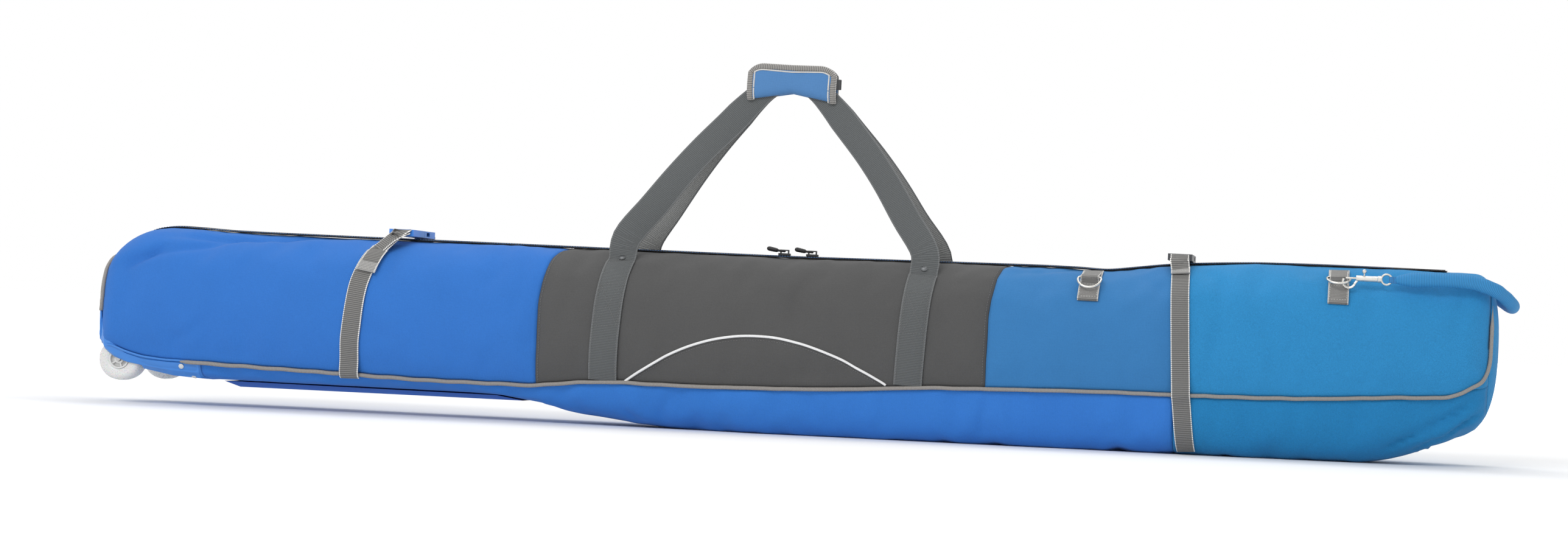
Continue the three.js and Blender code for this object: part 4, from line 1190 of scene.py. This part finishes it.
def build_handle(side):
    """One length of webbing: up one band, through the grip, down the other."""
    word = SIDES[side]
    first, first_out = half_handle(side, -1)
    last, last_out = half_handle(side, 1)
    knots = np.array(first + last[-2::-1])
    outs = np.array(first_out + last_out[-2::-1])
    points, out = spline(knots, 260), spline(outs, 260)
    grip = np.clip((points[:, 2] - low(f"{word}_hand_wrap").z + 20 * MM) / (30 * MM), 0, 1)
    narrowing = 1 - 0.16 * grip
    piece = strap(f"{word}_handle_webbing", points, out, HANDLE_WIDTH, HANDLE_GREY, scale=narrowing)
    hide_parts(f"{word}_carry_loop", *[f"{word}_carry_band_{part}" for part in PARTS])
    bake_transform(piece)
    top = STRAP_LIFT + WEBBING / 2
    vs = np.linspace(0.03, 0.9, 6)
    for part in PARTS:
        line = carry_band_line(side, part)
        name = f"{word}_{part}_band"
        sewn_box(f"{name}_box", side, line, 0.34, 0.60, 15 * MM, top, THREAD_GREY, "handle_webbing")
        for letter, edge in (("a", -16.4 * MM), ("b", 16.4 * MM)):
            places = np.stack([line(vs) + edge, vs], axis=1)
            stitched(f"{name}_row_{letter}", side, places, top, THREAD_GREY, "handle_webbing")
        build_rivet(side, part, points, out)


def build_rivet(side, part, points, outs):
    """A low dome on the webbing where the CAD puts the rivet."""
    node = f"{SIDES[side]}_rivet_{part}"
    centre = np.array(middle(node))
    nearest = np.argmin(np.linalg.norm(points[:, [0, 2]] - centre[[0, 2]], axis=1))
    out = outs[nearest] / np.linalg.norm(outs[nearest])
    seat = points[nearest] + (WEBBING / 2 - 0.2 * MM) * out
    profile = [(0, 0), (5, 0), (5, 0.5), (4.5, 0.9), (3.9, 0.8), (3.6, 1.2), (2.2, 1.7), (0, 1.9)]
    dome = turned(f"{node}_dome", [(r * MM, h * MM) for r, h in profile], seat, out, RIVET_GREY, 32)
    attach(dome, node, slot="zinc_metal")


def wrap_edges(node, share):
    """Lower and upper height of the hand wrap at a share -1 to 1 of its half-length."""
    corner = 22 * MM
    half = (high(node).x - low(node).x) / 2
    chevron = low(node).z + 11 * MM * (1 - abs(share))
    into_corner = max(0.0, abs(share) * half - (half - corner))
    top = high(node).z + 2.5 * MM - corner + math.sqrt(max(0.0, corner ** 2 - into_corner ** 2))
    return chevron, top


def pad_depth(node, x, z):
    """The wrap's inner and outer distance from the bag's middle plane at a place, and its fullness."""
    inner_y, outer_y = sorted((abs(low(node).y), abs(high(node).y)))
    share = np.clip((x - middle(node).x) / ((high(node).x - low(node).x) / 2), -1, 1)
    bottom, top = wrap_edges(node, share)
    height = np.clip((z - bottom) / (top - bottom), 0, 1)
    puff = (1 - abs(share) ** 9) * (1 - abs(2 * height - 1) ** 5)
    close = inner_y - (inner_y - 0.4 * MM) * height ** 3
    return close, close + (outer_y - inner_y) * (0.32 + 0.68 * puff), puff


def build_wrap_pad(side, node):
    """Half of the padded grip, crowned and a little gathered."""
    centre, half = middle(node).x, (high(node).x - low(node).x) / 2
    outer, inner, uv = [], [], []
    for h in np.linspace(0, 1, 21):
        row_out, row_in, row_uv = [], [], []
        for share in np.sin(np.linspace(-math.pi / 2, math.pi / 2, 49)):
            bottom, top = wrap_edges(node, share)
            x, z = centre + half * share, bottom + (top - bottom) * h
            close, far, puff = pad_depth(node, x, z)
            wrinkle = 0.7 * MM * noise.noise(Vector((x, side, z)) / 0.017) * puff
            row_out.append((x, side * (far + wrinkle), z))
            row_in.append((x, side * close, z))
            row_uv.append((x, z))
        outer.append(row_out)
        inner.append(row_in)
        uv.append(row_uv)
    return slab(f"{node}_pad", np.array(outer), np.array(inner), WRAP_BLUE, np.array(uv))


def wrap_outline(node, inset):
    """Up one end of the wrap, along its top and down the other end, at a distance inside its edge."""
    centre, half = middle(node).x, (high(node).x - low(node).x) / 2
    bottom, top = wrap_edges(node, -1)
    rising = [(-half + inset, bottom + (top - bottom) * h) for h in np.linspace(0, 1, 8)[:-1]]
    along = []
    for share in np.sin(np.linspace(-math.pi / 2, math.pi / 2, 61)):
        x = max(-half + inset, min(half - inset, half * share))
        along.append((x, wrap_edges(node, x / half)[1] - inset * (1 - 0.3 * abs(share))))
    falling = [(-x, z) for x, z in rising[::-1]]
    return [(centre + x, z) for x, z in rising + along + falling]


def build_wrap_tab(node):
    """A short fold of dark webbing that sticks out of the wrap's end, to pull it open by."""
    end, height = high(node).x, middle(node).z + 3 * MM
    fold = np.array([(-5, -4.6), (3, -4.4), (6, -2.6), (3, -0.9), (-5, -0.7)]) * MM
    line = spline(np.array([(end + x, y, height) for x, y in fold]), 40)
    return strap(f"{node}_tab", line, np.cross(np.gradient(line, axis=0), UP), 14 * MM, TAB_DARK)


def build_wrap(side):
    """The pad, ribbed binding round its upper edge and both ends, and a white line inside that."""
    node = f"{SIDES[side]}_hand_wrap"
    body = f"{SIDES[side]}_handle"
    width, thick, inset = 9.5 * MM, 7 * MM, 3.8 * MM
    attach(build_wrap_pad(side, node), node, slot="royal_blue_fabric", body=body)
    proud = 0.7 * MM - thick / 2
    seats = [pad_depth(node, x, z)[1] + proud for x, z in wrap_outline(node, inset + width / 2)]
    line = [(x, side * seat, z) for (x, z), seat in zip(wrap_outline(node, inset), seats)]
    outward = np.array([0.0, side, 0.0])
    binding = strap(f"{node}_binding", spline(line, 150), outward, width, BINDING, thick=thick)
    within = wrap_outline(node, inset + width / 2 + 0.7 * MM)
    line = [(x, side * (pad_depth(node, x, z)[1] + 0.4 * MM), z) for x, z in within]
    pieces = [binding, sweep(f"{node}_line", spline(line, 150), circle(1.0 * MM, 8), THREAD_WHITE)]
    if side < 0:
        pieces.append(build_wrap_tab(node))
    for piece in pieces:
        attach(piece, slot="handle_webbing", body=body)


# ------------------------------------------------------------------ compression straps

def strap_line(part):
    """Middle line x(v) of a compression strap, and the v where it starts."""
    node = f"front_compression_strap_{part}"
    first, last = low(node).x + STRAP_WIDTH / 2, high(node).x - STRAP_WIDTH / 2
    if part == "wheel_side":
        return lambda v: first + (last - first) * np.clip(v, 0, 1) ** 1.7, -0.045
    return lambda v: last - (last - first) * (np.asarray(v) + 0.65) / 1.5, -0.65


def strap_lift(vs):
    """Height off the skin: the strap rides over the piping."""
    return STRAP_LIFT + 4.6 * MM * np.exp(-(np.asarray(vs) / 0.07) ** 2)


def build_compression_strap(side, part):
    """Webbing from the side of the bag up to its half of the buckle."""
    word = SIDES[side]
    name = f"{word}_compression_strap_{part}"
    line, start = strap_line(part)
    half = "plug" if side < 0 else "socket"
    buckle = f"buckle_{half}_{part}"
    buckle_x, buckle_z = middle(buckle).x, middle(buckle).z
    outer_y = abs(low(buckle).y) if side < 0 else high(buckle).y
    vs = np.linspace(start, 0.80, 46)
    lift = strap_lift(vs) if start < 0 else STRAP_LIFT
    points, outs = map(list, on_skin(line(vs), vs, side, lift))
    for y, z in ((outer_y + 9 * MM, buckle_z - 4.5 * MM), (outer_y + 2 * MM, buckle_z - 1.4 * MM),
                 (outer_y - 5 * MM, buckle_z - 0.4 * MM)):
        points.append(np.array([buckle_x, side * y, z]))
        outs.append(np.array([0.0, 0.35 * side, 1.0]))
    main = strap(name + "_webbing", spline(points, 150), spline(outs, 150), STRAP_WIDTH, STRAP_GREY)
    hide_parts(name)
    parts = [main]
    if side < 0:
        parts.append(build_tail(part, line, buckle_x, buckle_z, outer_y))
    for piece in parts:
        if side < 0:
            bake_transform(piece)
        else:
            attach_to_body(piece, "bag")


def build_tail(part, line, buckle_x, buckle_z, outer_y):
    """The strap's free end, back down over itself to a folded hem."""
    shift = 4 * MM if part == "wheel_side" else 0.0
    hem_v = v_at(buckle_x, buckle_z - (58 if part == "wheel_side" else 26) * MM)
    vs = np.linspace(0.79, hem_v, 18)
    over = STRAP_LIFT + WEBBING + 0.4 * MM + 1.2 * MM * np.sin(np.linspace(0, math.pi, 18))
    knots = [np.array([buckle_x, -(outer_y - 4 * MM), buckle_z + 2.9 * MM]),
             np.array([buckle_x, -(outer_y + 4 * MM), buckle_z + 0.9 * MM])]
    outs = [np.array([0.0, -0.2, 1.0]), np.array([0.0, -0.5, 1.0])]
    knots += list(surface(line(vs) + shift, vs, -1, over))
    outs += list(way_out(line(vs), vs, -1))
    name = f"front_{part}_strap"
    tail = strap(f"{name}_tail", spline(knots, 90), spline(outs, 90), STRAP_WIDTH, STRAP_GREY)
    hem_vs = np.linspace(hem_v + 0.055, hem_v - 0.004, 10)
    hem_over = STRAP_LIFT + 2 * WEBBING + 0.5 * MM
    folded = surface(line(hem_vs) + shift, hem_vs, -1, hem_over)
    hem = strap(f"{name}_hem", folded, way_out(line(hem_vs), hem_vs, -1), STRAP_WIDTH + 0.6 * MM,
                HEM_GREY, thick=WEBBING * 1.25)
    row = np.linspace(-1, 1, 16) * (STRAP_WIDTH / 2 - 1.5 * MM)
    sewn_v = hem_v + 0.012
    seam = surface(line(sewn_v) + shift + row, sewn_v, -1, hem_over + WEBBING * 0.62)
    sewn = stitches(f"{name}_sewn", seam, way_out(line(sewn_v) + row, sewn_v, -1), THREAD_WHITE)
    tail = joined(f"{name}_tail", [tail, hem, sewn])
    return tail


# ------------------------------------------------------------------ piping

def node_line(node):
    """The run of a long thin CAD node, as x and mean height."""
    points = np.array([v.co[:] for v in NODES[node].data.vertices])
    xs = np.arange(points[:, 0].min() + 2 * MM, points[:, 0].max(), 6 * MM)
    knots = []
    for x in sorted(set(np.round(points[:, 0], 3))):
        near = points[np.abs(points[:, 0] - x) < 4 * MM]
        knots.append((x, near[:, 2].mean()))
    knots = np.array(knots)
    return xs, np.interp(xs, knots[:, 0], knots[:, 1])


def build_piping(side):
    """Covered cord along the lower seam, round the corner of the hood and up the nose."""
    word = SIDES[side]
    xs = np.arange(low(f"{word}_piping").x, NOSE_SEAM - NOSE_CORNER, 6 * MM)
    turn = np.linspace(0, math.pi / 2, 16)[1:]
    squareness = 0.62
    corner_x = NOSE_SEAM - NOSE_CORNER * (1 - np.sin(turn) ** squareness)
    corner_v = NOSE_CORNER_V * (1 - np.cos(turn) ** squareness)
    top_v = v_at(NOSE_SEAM, high(f"{word}_piping").z - 4 * MM, side)
    rise = np.linspace(NOSE_CORNER_V, top_v, 14)[1:]
    x = np.concatenate([xs, corner_x, np.full(len(rise), NOSE_SEAM)])
    v = np.concatenate([np.zeros(len(xs)), corner_v, rise])
    radius = 2.7 * MM
    points = surface(x, v, side, radius * 0.72)
    line = spline(points, 420)
    run = lengths(line)
    taper = np.clip((run[-1] - run) / 0.03, 0.12, 1) * np.clip(run / 0.006, 0.5, 1)
    bent = way_out(x, v, side)
    piece = sweep(f"{word}_piping_cord", line, circle(radius, 12), PIPING,
                  up=spline(bent, 420), scale=taper)
    attach(piece, f"{word}_piping", slot="piping")


def build_end_piping(side):
    """The short piped edge of the wheel end, from the housing up to where the zip turns."""
    word = SIDES[side]
    v = np.linspace(housing_top() - 0.004, 0.93, 26)
    x = np.full(len(v), WHEEL_SEAM + 3 * MM)
    piece = sweep(f"{word}_end_piping", surface(x, v, side, 1.4 * MM), circle(2.4 * MM, 10), PIPING,
                  up=way_out(x, v, side))
    attach(piece, slot="piping")


def build_pocket_piping():
    """White piping over the mouth of the flat pocket, with its row of thread."""
    xs, zs = node_line("front_pocket_piping")
    vs = np.array([v_at(x, z) for x, z in zip(xs, zs)])
    vs = smoothed(vs[:, None], 0, 2.0)[:, 0]
    radius = 1.7 * MM
    piece = sweep("front_pocket_piping_cord", spline(surface(xs, vs, -1, radius * 0.7), 240),
                  circle(radius, 10), WHITE_PIPING, up=spline(way_out(xs, vs, -1), 240))
    attach(piece, "front_pocket_piping", slot="white_trim")
    stitched("front_pocket_thread", -1, np.stack([xs, vs - 0.025], axis=1)[2:-2:3], 0.2 * MM,
             THREAD_GREY, slot="grey_fabric")


# ------------------------------------------------------------------ zip

def zip_path():
    """Middle line of the zip from the nose, along the top and down the wheel end."""
    xs = np.arange(high("zip_tape").x - 2 * MM, WHEEL_TIP + 1.5 * MM, -5 * MM)
    top = surface(xs, np.ones(len(xs)), -1)
    ends = np.array([WHEEL_TIP + 1.4 * MM, WHEEL_TIP + 0.3 * MM, WHEEL_TIP - 0.2 * MM])
    bend = surface(ends, np.ones(3), -1)
    bend[:, 0] = ends
    last = bend[-1]
    foot = low("wheel_end_cap").z + 0.4 * MM
    down = np.array([(last[0] - 0.4 * MM, 0, z) for z in np.linspace(last[2] - 6 * MM, foot, 8)])
    line = np.concatenate([top, bend, down])
    line[:, 1] = 0
    return spline(line, 520)


def build_zip():
    line = zip_path()
    along = np.gradient(line, axis=0)
    out = np.cross(np.array([0.0, 1, 0]), along)
    out /= np.linalg.norm(out, axis=1, keepdims=True)
    half, thick = high("zip_tape").y, 0.9 * MM
    ys = np.linspace(-half, half, 11)
    sag = -0.7 * MM * (ys / half) ** 2
    outline = [(y, s) for y, s in zip(ys, sag)] + [(y, s - thick) for y, s in zip(ys[::-1], sag[::-1])]
    outline = np.array(outline)
    tape = sweep("zip_tape_cloth", line + 1.3 * MM * out, outline, LINING, up=out,
                 across=outline[:, 0] / (2 * half) + 0.5)
    attach(tape, "zip_tape", slot="zip_tape")
    attach(coil("zip_coil", line + 1.5 * MM * out, out), slot="zip_tape")
    for edge, word in ((-1, "front"), (1, "back")):
        row = line[20:-12] + 1.0 * MM * out[20:-12] + np.array([0, edge * (half - 2 * MM), 0])
        attach(stitches(f"{word}_zip_thread", row, out[20:-12], THREAD_BLUE), slot="zip_tape")


def coil(name, line, out, pitch=3.0 * MM):
    """The zip's interlocked coil: a close row of rounded teeth."""
    run = lengths(line)
    points, faces = [], []
    shape = [(-2.9, 0), (-2.4, 0.9), (0, 1.2), (2.4, 0.9), (2.9, 0)]  # across and up, in mm
    for i, at in enumerate(np.arange(pitch, run[-1] - pitch, pitch / 2)):
        centre, lift = value_at(at, run, line), value_at(at, run, out)
        ahead = np.cross(lift, np.array([0.0, 1, 0]))
        offset = 0.35 * MM * (1 if i % 2 else -1)
        base = len(points)
        for y, h in shape:
            for step in (-1, 1):
                points.append(centre + np.array([0, y * MM + offset, 0]) + h * MM * lift
                              + step * 0.22 * pitch * ahead)
        for j in range(4):
            a = base + 2 * j
            faces.append((a, a + 1, a + 3, a + 2))
        faces.append((base, base + 8, base + 9, base + 1))
        faces.append(tuple(base + k for k in (0, 2, 4, 6, 8)))
        faces.append(tuple(base + k for k in (1, 3, 5, 7, 9)))
    return new_object(name, points, faces, TEETH, smooth=False)


def build_pull(part):
    """A cord loop through the slider and a moulded grip on the end of it."""
    node = f"zip_pull_{part}"
    far, near = low(node).x, high(node).x
    z0, z1 = middle(f"zip_slider_{part}").z + 1.8 * MM, high(node).z - 2.6 * MM
    grip_line = np.array([(far + t * 15 * MM, 0, z1 - t * 2.6 * MM) for t in np.linspace(0, 1, 12)])
    shape = circle(4.0 * MM, 14) * np.array([1.15, 0.8])
    swell = np.array([0.55, 0.86, 0.98, 1, 0.94, 0.98, 0.9, 0.96, 0.86, 0.9, 0.76, 0.5])
    grip = sweep(f"{node}_grip", grip_line, shape, RUBBER, scale=swell)
    angles = np.linspace(0, 2 * math.pi, 40, endpoint=False)
    start = far + 14 * MM
    reach = near - 1.2 * MM - start
    loop = np.array([
        (start + reach * (0.5 - 0.5 * math.cos(a)), 1.7 * MM * math.sin(a) * (1 + 0.5 * math.cos(a)),
         z1 - 2.4 * MM + (z0 - z1 + 2.4 * MM) * (0.5 - 0.5 * math.cos(a))) for a in angles
    ])
    cord_loop = sweep(f"{node}_cord", loop, circle(1.5 * MM, 8), PULL_CORD, closed=True)
    pull = joined(f"{node}_cord_pull", [grip, cord_loop])
    attach(pull, node, slot="pull_rubber", body=f"{part}_pull")


# ------------------------------------------------------------------ rings, hooks and tow strap

JOINTS = {joint["name"]: joint for joint in frame["record"]["behaviour"]["joints"]}


def pivot(joint):
    return np.array(JOINTS[joint]["pos_m"])


def build_d_ring(node, body, joint):
    """Smooth wire bent to a D: a straight bar through the tab and a round bow."""
    bar = pivot(joint)
    wire = 1.6 * MM
    radius = (high(node).x - low(node).x) / 2 - wire
    centre = np.array([v.co[:] for v in NODES[node].data.vertices]).mean(axis=0)
    hang = (centre - bar) * np.array([0, 1, 1])
    hang /= np.linalg.norm(hang)
    drop = 4 * MM
    flat = [(-(radius - 2 * MM), 0), (0, 0), (radius - 2 * MM, 0), (radius - 0.4 * MM, 1.6 * MM)]
    flat += [(radius * math.cos(a), drop + radius * math.sin(a)) for a in np.linspace(0, math.pi, 25)]
    flat += [(-(radius - 0.4 * MM), 1.6 * MM)]
    points = np.array([bar + np.array([x, 0, 0]) + h * hang for x, h in flat])
    ring = sweep(f"{node}_wire", points, circle(wire, 12), ZINC, closed=True,
                 up=np.cross(np.array([1.0, 0, 0]), hang))
    attach(ring, node, slot="zinc_metal", body=body)


def build_ring_tab(node, side, joint):
    """Webbing folded over the ring's bar and sewn down below it, drawn in to pass inside the ring."""
    bar = pivot(joint)
    width = 28 * MM
    top = v_at(bar[0], high(node).z - 1.5 * MM, side)
    foot = v_at(bar[0], low(node).z + 1 * MM, side)
    at_bar = v_at(bar[0], bar[2] - 3 * MM, side)
    out = way_out(bar[0], at_bar, side)
    rise = np.cross(np.array([1.0, 0, 0]), out) * -side
    rise = rise if rise[2] > 0 else -rise
    vs = np.linspace(foot, at_bar - 0.045, 12)
    knots, outs = map(list, on_skin(bar[0], vs, side, STRAP_LIFT + WEBBING))
    for angle in np.radians([-35, 0, 40, 80]):
        knots.append(bar + 2.9 * MM * (math.cos(angle) * out + math.sin(angle) * rise))
        outs.append(math.cos(angle) * out + math.sin(angle) * rise)
    knots.append(surface(bar[0], top, side, STRAP_LIFT - 0.3 * MM))
    outs.append(0.5 * out + 0.5 * rise)
    narrowing = np.interp(np.linspace(0, 1, 70), (0.5, 0.68), (1.0, 0.87))
    folded = strap(f"{node}_fold", spline(knots, 70), spline(outs, 70), width, TAB_GREY, scale=narrowing)
    base_vs = np.linspace(foot - 0.006, top, 16)
    base = strap(f"{node}_base", *on_skin(bar[0], base_vs, side, STRAP_LIFT), width, TAB_GREY)
    attach(joined(f"{node}_webbing", [folded, base]), node, slot="strap_webbing")
    sewn_box(f"{node}_thread", side, between(bar[0], bar[0]), foot + 0.02, at_bar - 0.07, 11.5 * MM,
             STRAP_LIFT + 1.5 * WEBBING, THREAD_WHITE, "strap_webbing", cross=False)


def tow_path():
    """Middle line of the tow strap from hook to hook round the nose."""
    node = "tow_strap"
    radius = 9.5 * MM
    start, reach = low(node).x + 0.6 * MM, high(node).x - radius - low(node).x - 3.9 * MM
    wide, height = abs(low(node).y) - radius - 1 * MM, middle("front_swivel_eye").z
    shape = [  # share of the reach, share of the width, height in mm
        (0, 1.0, 0), (0.336, 1.015, 3), (0.628, 0.99, 2), (0.857, 0.83, -8), (1.0, 0.37, -24),
    ]
    front = [(start + share * reach, -wide * y, height + z * MM) for share, y, z in shape]
    return spline(front + [(x, -y, z) for x, y, z in front[::-1]], 260), radius


def build_tow_strap():
    """A padded sleeve that gathers at its bends and narrows to its end loops."""
    line, radius = tow_path()
    run = lengths(line)
    from_end = np.minimum(run, run[-1] - run)
    taper = 0.36 + 0.64 * np.clip(from_end / 0.022, 0, 1) ** 0.6
    bend = np.clip(np.abs(line[:, 1]) / np.abs(line[:, 1]).max(), 0, 1)
    gathers = 0.035 * np.sin(run / (3.6 * MM)) * np.exp(-((bend - 0.75) / 0.22) ** 2)
    lumps = np.array([0.05 * noise.noise(Vector(p) / 0.03) for p in line])
    fullness = taper * (1 + gathers + lumps)
    sleeve = sweep("tow_strap_sleeve", line, circle(radius, 22), TOW_BLUE, scale=fullness)
    attach(sleeve, "tow_strap", slot="teal_blue_fabric", body="tow_strap")
    for side, word in SIDES.items():
        eye = f"{word}_swivel_eye"
        wire_x, y, z = high(eye).x - 1.4 * MM, side * abs(middle(eye).y), middle(eye).z
        angles = np.radians(np.linspace(90, 270, 13))
        bow = [(wire_x + 2.7 * MM * math.cos(a), y + 2.7 * MM * math.sin(a), z) for a in angles]
        knots = [(wire_x + 16 * MM, y + 2.2 * MM, z)] + bow + [(wire_x + 16 * MM, y - 2.2 * MM, z)]
        line_in = spline(knots, 60)
        out = np.cross(np.gradient(line_in, axis=0), UP)
        loop = strap(f"{word}_tow_loop", line_in, out, 8.5 * MM, TOW_WEB, thick=1.5 * MM)
        attach(loop, slot="strap_webbing", body="tow_strap")


# ------------------------------------------------------------------ wheels

def build_wheel(side):
    """A cast tyre on a spoked hub with a bearing."""
    word = SIDES[side]
    tyre, hub = f"{word}_wheel_tyre", f"{word}_wheel_hub"
    centre = np.array(middle(tyre))
    outer = (high(tyre).x - low(tyre).x) / 2
    inner = (high(hub).x - low(hub).x) / 2
    half = (high(tyre).y - low(tyre).y) / 2
    profile = [
        (inner + 0.15 * MM, -half * 0.8), (inner + 2 * MM, -half * 0.94), (outer * 0.72, -half),
        (outer * 0.88, -half * 0.93), (outer * 0.97, -half * 0.68), (outer, -half * 0.3),
    ]
    groove = [(outer, -half * 0.08), (outer - 0.8 * MM, -half * 0.05)]
    outline = profile + groove
    outline += [(r, -h) for r, h in outline[::-1]]
    outline.append(outline[0])
    rim = turned(f"{tyre}_cast", outline, centre, (0, 1, 0), TYRE, 72)
    attach(rim, tyre, slot="wheel_tyre", body=f"{word}_wheel")
    face = (high(hub).y - low(hub).y) / 2
    ring = [(inner, -face), (inner, face), (inner - 2 * MM, face), (inner - 2.4 * MM, face - 3 * MM),
            (6.2 * MM, face - 3 * MM), (6 * MM, face - 0.6 * MM), (3.4 * MM, face - 0.6 * MM),
            (3.4 * MM, 0.6 * MM - face), (6 * MM, 0.6 * MM - face), (6.2 * MM, 3 * MM - face),
            (inner - 2.4 * MM, 3 * MM - face), (inner - 2 * MM, -face), (inner, -face)]
    parts = [turned(f"{hub}_ring", ring, centre, (0, 1, 0), HUB_GREY, 60)]
    spoke = [(x * 2.6 * MM, y * 1.6 * MM) for x, y in ((-1, -1), (1, -1), (1, 1), (-1, 1))]
    for turn in range(5):
        angle = turn * 2 * math.pi / 5
        for facing in (-1, 1):
            place = (Matrix.Translation(centre) @ Matrix.Rotation(angle, 4, "Y")
                     @ Matrix.Translation((8.4 * MM, facing * (face - 2.4 * MM), 0)))
            parts.append(prism(f"{hub}_spoke_{turn}_{facing + 1}", spoke, 2.0 * MM,
                               place @ Matrix.Translation((0, 0, -1 * MM)), HUB_GREY, 0.3 * MM))
    attach(joined(f"{hub}_moulded", parts), hub, slot="hub_plastic", body=f"{word}_wheel")


# ------------------------------------------------------------------ carried CAD nodes

def finish_node(name, material, bevel):
    """A CAD node keeps its shape and gets rounded edges and a finish."""
    target = NODES[name]
    for slot in target.material_slots:
        slot.material = material
    bevel_edges(target, bevel, 32, 3)


def finish_nodes():
    finish_node("base_runner", RUNNER_BLUE, 0.8 * MM)
    finish_node("wheel_housing", MOULDED_BLUE, 1.0 * MM)
    finish_node("wheel_axle", STEEL_ROD, 0.5 * MM)
    for part, material in (("wheel_side", BUCKLE_BLUE), ("nose_side", BUCKLE_GREY)):
        finish_node(f"buckle_plug_{part}", material, 0.6 * MM)
        finish_node(f"buckle_socket_{part}", material, 0.8 * MM)
        finish_node(f"zip_slider_{part}", SLIDER_BLACK, 0.4 * MM)
    for word in SIDES.values():
        for node in ("snap_hook", "snap_bolt", "swivel_eye"):
            finish_node(f"{word}_{node}", ZINC, 0.35 * MM)


def build_seam_threads(side):
    """The rows of thread beside the centre panel's seams and the hood's."""
    word = SIDES[side]
    vs = np.linspace(0.02, 0.97, 9)
    for i, (seam, inside) in enumerate(((GREY_START, 4 * MM), (GREY_END, -4 * MM))):
        places = np.stack([seam + lean(vs) + inside, vs], axis=1)
        stitched(f"{word}_centre_seam_thread_{i}", side, places, 0.25 * MM, THREAD_GREY, "grey_fabric")
    vs = np.linspace(0.05, 0.97, 9)
    places = np.stack([np.full(len(vs), HOOD_SEAM + 4 * MM), vs], axis=1)
    stitched(f"{word}_hood_seam_thread", side, places, 0.25 * MM, THREAD_BLUE, "teal_blue_fabric")


for side, word in SIDES.items():
    build_handle(side)
    build_wrap(side)
    for part in PARTS:
        build_compression_strap(side, part)
    build_piping(side)
    build_end_piping(side)
    build_wheel(side)
    build_d_ring(f"{word}_d_ring_nose", f"{word}_nose_ring", f"{word}_nose_ring_swing")
    build_ring_tab(f"{word}_ring_tab_nose", side, f"{word}_nose_ring_swing")
    build_seam_threads(side)
build_pocket_piping()
build_zip()
for part in PARTS:
    build_pull(part)
build_d_ring("front_d_ring_side", "side_ring", "side_ring_swing")
build_ring_tab("front_ring_tab_side", -1, "side_ring_swing")
build_tow_strap()
finish_nodes()


# ------------------------------------------------------------------ stage, light and camera

def build_stage():
    """A plain pale floor under an even white sky."""
    floor = bpy.data.meshes.new("floor")
    reach = 60.0
    floor.from_pydata([(-reach, -reach, 0), (reach, -reach, 0), (reach, reach, 0), (-reach, reach, 0)],
                      [], [(0, 1, 2, 3)])
    look = Look("floor", 0.9)
    distance = look.node("ShaderNodeVectorMath", "Value", {"operation": "LENGTH"}, _0=look.place)
    far = look.node("ShaderNodeMapRange", "Result", _0=distance, _1=1.3, _2=3.2)
    look.feed(look.shader.inputs["Emission Color"], (1, 1, 1, 1))
    look.feed(look.shader.inputs["Emission Strength"], far)
    floor.materials.append(look.finish(linear((246, 246, 246))))
    ground = bpy.data.objects.new("floor", floor)
    bpy.context.scene.collection.objects.link(ground)
    world = bpy.data.worlds.new("studio")
    world.use_nodes = True
    nodes, links = world.node_tree.nodes, world.node_tree.links
    sky = nodes["Background"]
    sky.inputs["Color"].default_value = (1, 1, 1, 1)
    seen = nodes.new("ShaderNodeLightPath")
    strength = nodes.new("ShaderNodeMapRange")
    strength.inputs["To Min"].default_value = 0.74
    strength.inputs["To Max"].default_value = 1.0
    links.new(seen.outputs["Is Camera Ray"], strength.inputs["Value"])
    links.new(strength.outputs["Result"], sky.inputs["Strength"])
    bpy.context.scene.world = world
    bpy.context.scene.view_settings.view_transform = "Standard"


def add_softbox(name, place, aim, size, power):
    light = bpy.data.lights.new(name, "AREA")
    light.shape = "RECTANGLE"
    light.size, light.size_y = size
    light.energy = power
    box = bpy.data.objects.new(name, light)
    box.location = place
    box.rotation_euler = (Vector(aim) - Vector(place)).to_track_quat("-Z", "Y").to_euler()
    bpy.context.scene.collection.objects.link(box)


def build_lights():
    add_softbox("key", (-0.9, -2.6, 2.4), (0, 0, 0.12), (2.6, 0.8), 46)
    add_softbox("top", (0.2, 0.6, 2.6), (0, 0, 0.1), (3.0, 0.8), 26)


def build_camera():
    """The photograph's viewpoint: opposite the nose, looking straight across, with the frame shifted
    towards the wheel end and the camera rolled a little. The shift fades once the camera moves."""
    roll = math.radians(2.834)
    camera = bpy.data.cameras.new("camera")
    camera.sensor_width = 36
    camera.lens = 46.58
    camera.shift_x = -0.3606
    camera.shift_y = 0.0489
    holder = bpy.data.objects.new("camera", camera)
    bpy.context.scene.collection.objects.link(holder)
    holder.location = (0.74, -2.775, 0.15)
    up = Vector((-math.sin(roll), 0, math.cos(roll)))
    right = Vector((math.cos(roll), 0, math.sin(roll)))
    back = Vector((0, -1, 0))
    holder.rotation_euler = Matrix((right, up, back)).transposed().to_euler()
    bpy.context.scene.camera = holder
    mark = bpy.data.objects.new("viewpoint", None)
    mark.location = holder.location
    bpy.context.scene.collection.objects.link(mark)
    for channel in ("shift_x", "shift_y"):
        shifted = getattr(camera, channel)
        curve = camera.driver_add(channel)
        curve.driver.type = "SUM"
        distance = curve.driver.variables.new()
        distance.type = "LOC_DIFF"
        distance.targets[0].id = holder
        distance.targets[1].id = mark
        for modifier in list(curve.modifiers):
            curve.modifiers.remove(modifier)
        curve.keyframe_points.add(2)
        curve.keyframe_points[0].co = (0.0, shifted)
        curve.keyframe_points[1].co = (0.5, 0.0)
        for key in curve.keyframe_points:
            key.interpolation = "LINEAR"
        curve.extrapolation = "CONSTANT"


build_stage()
build_lights()
build_camera()
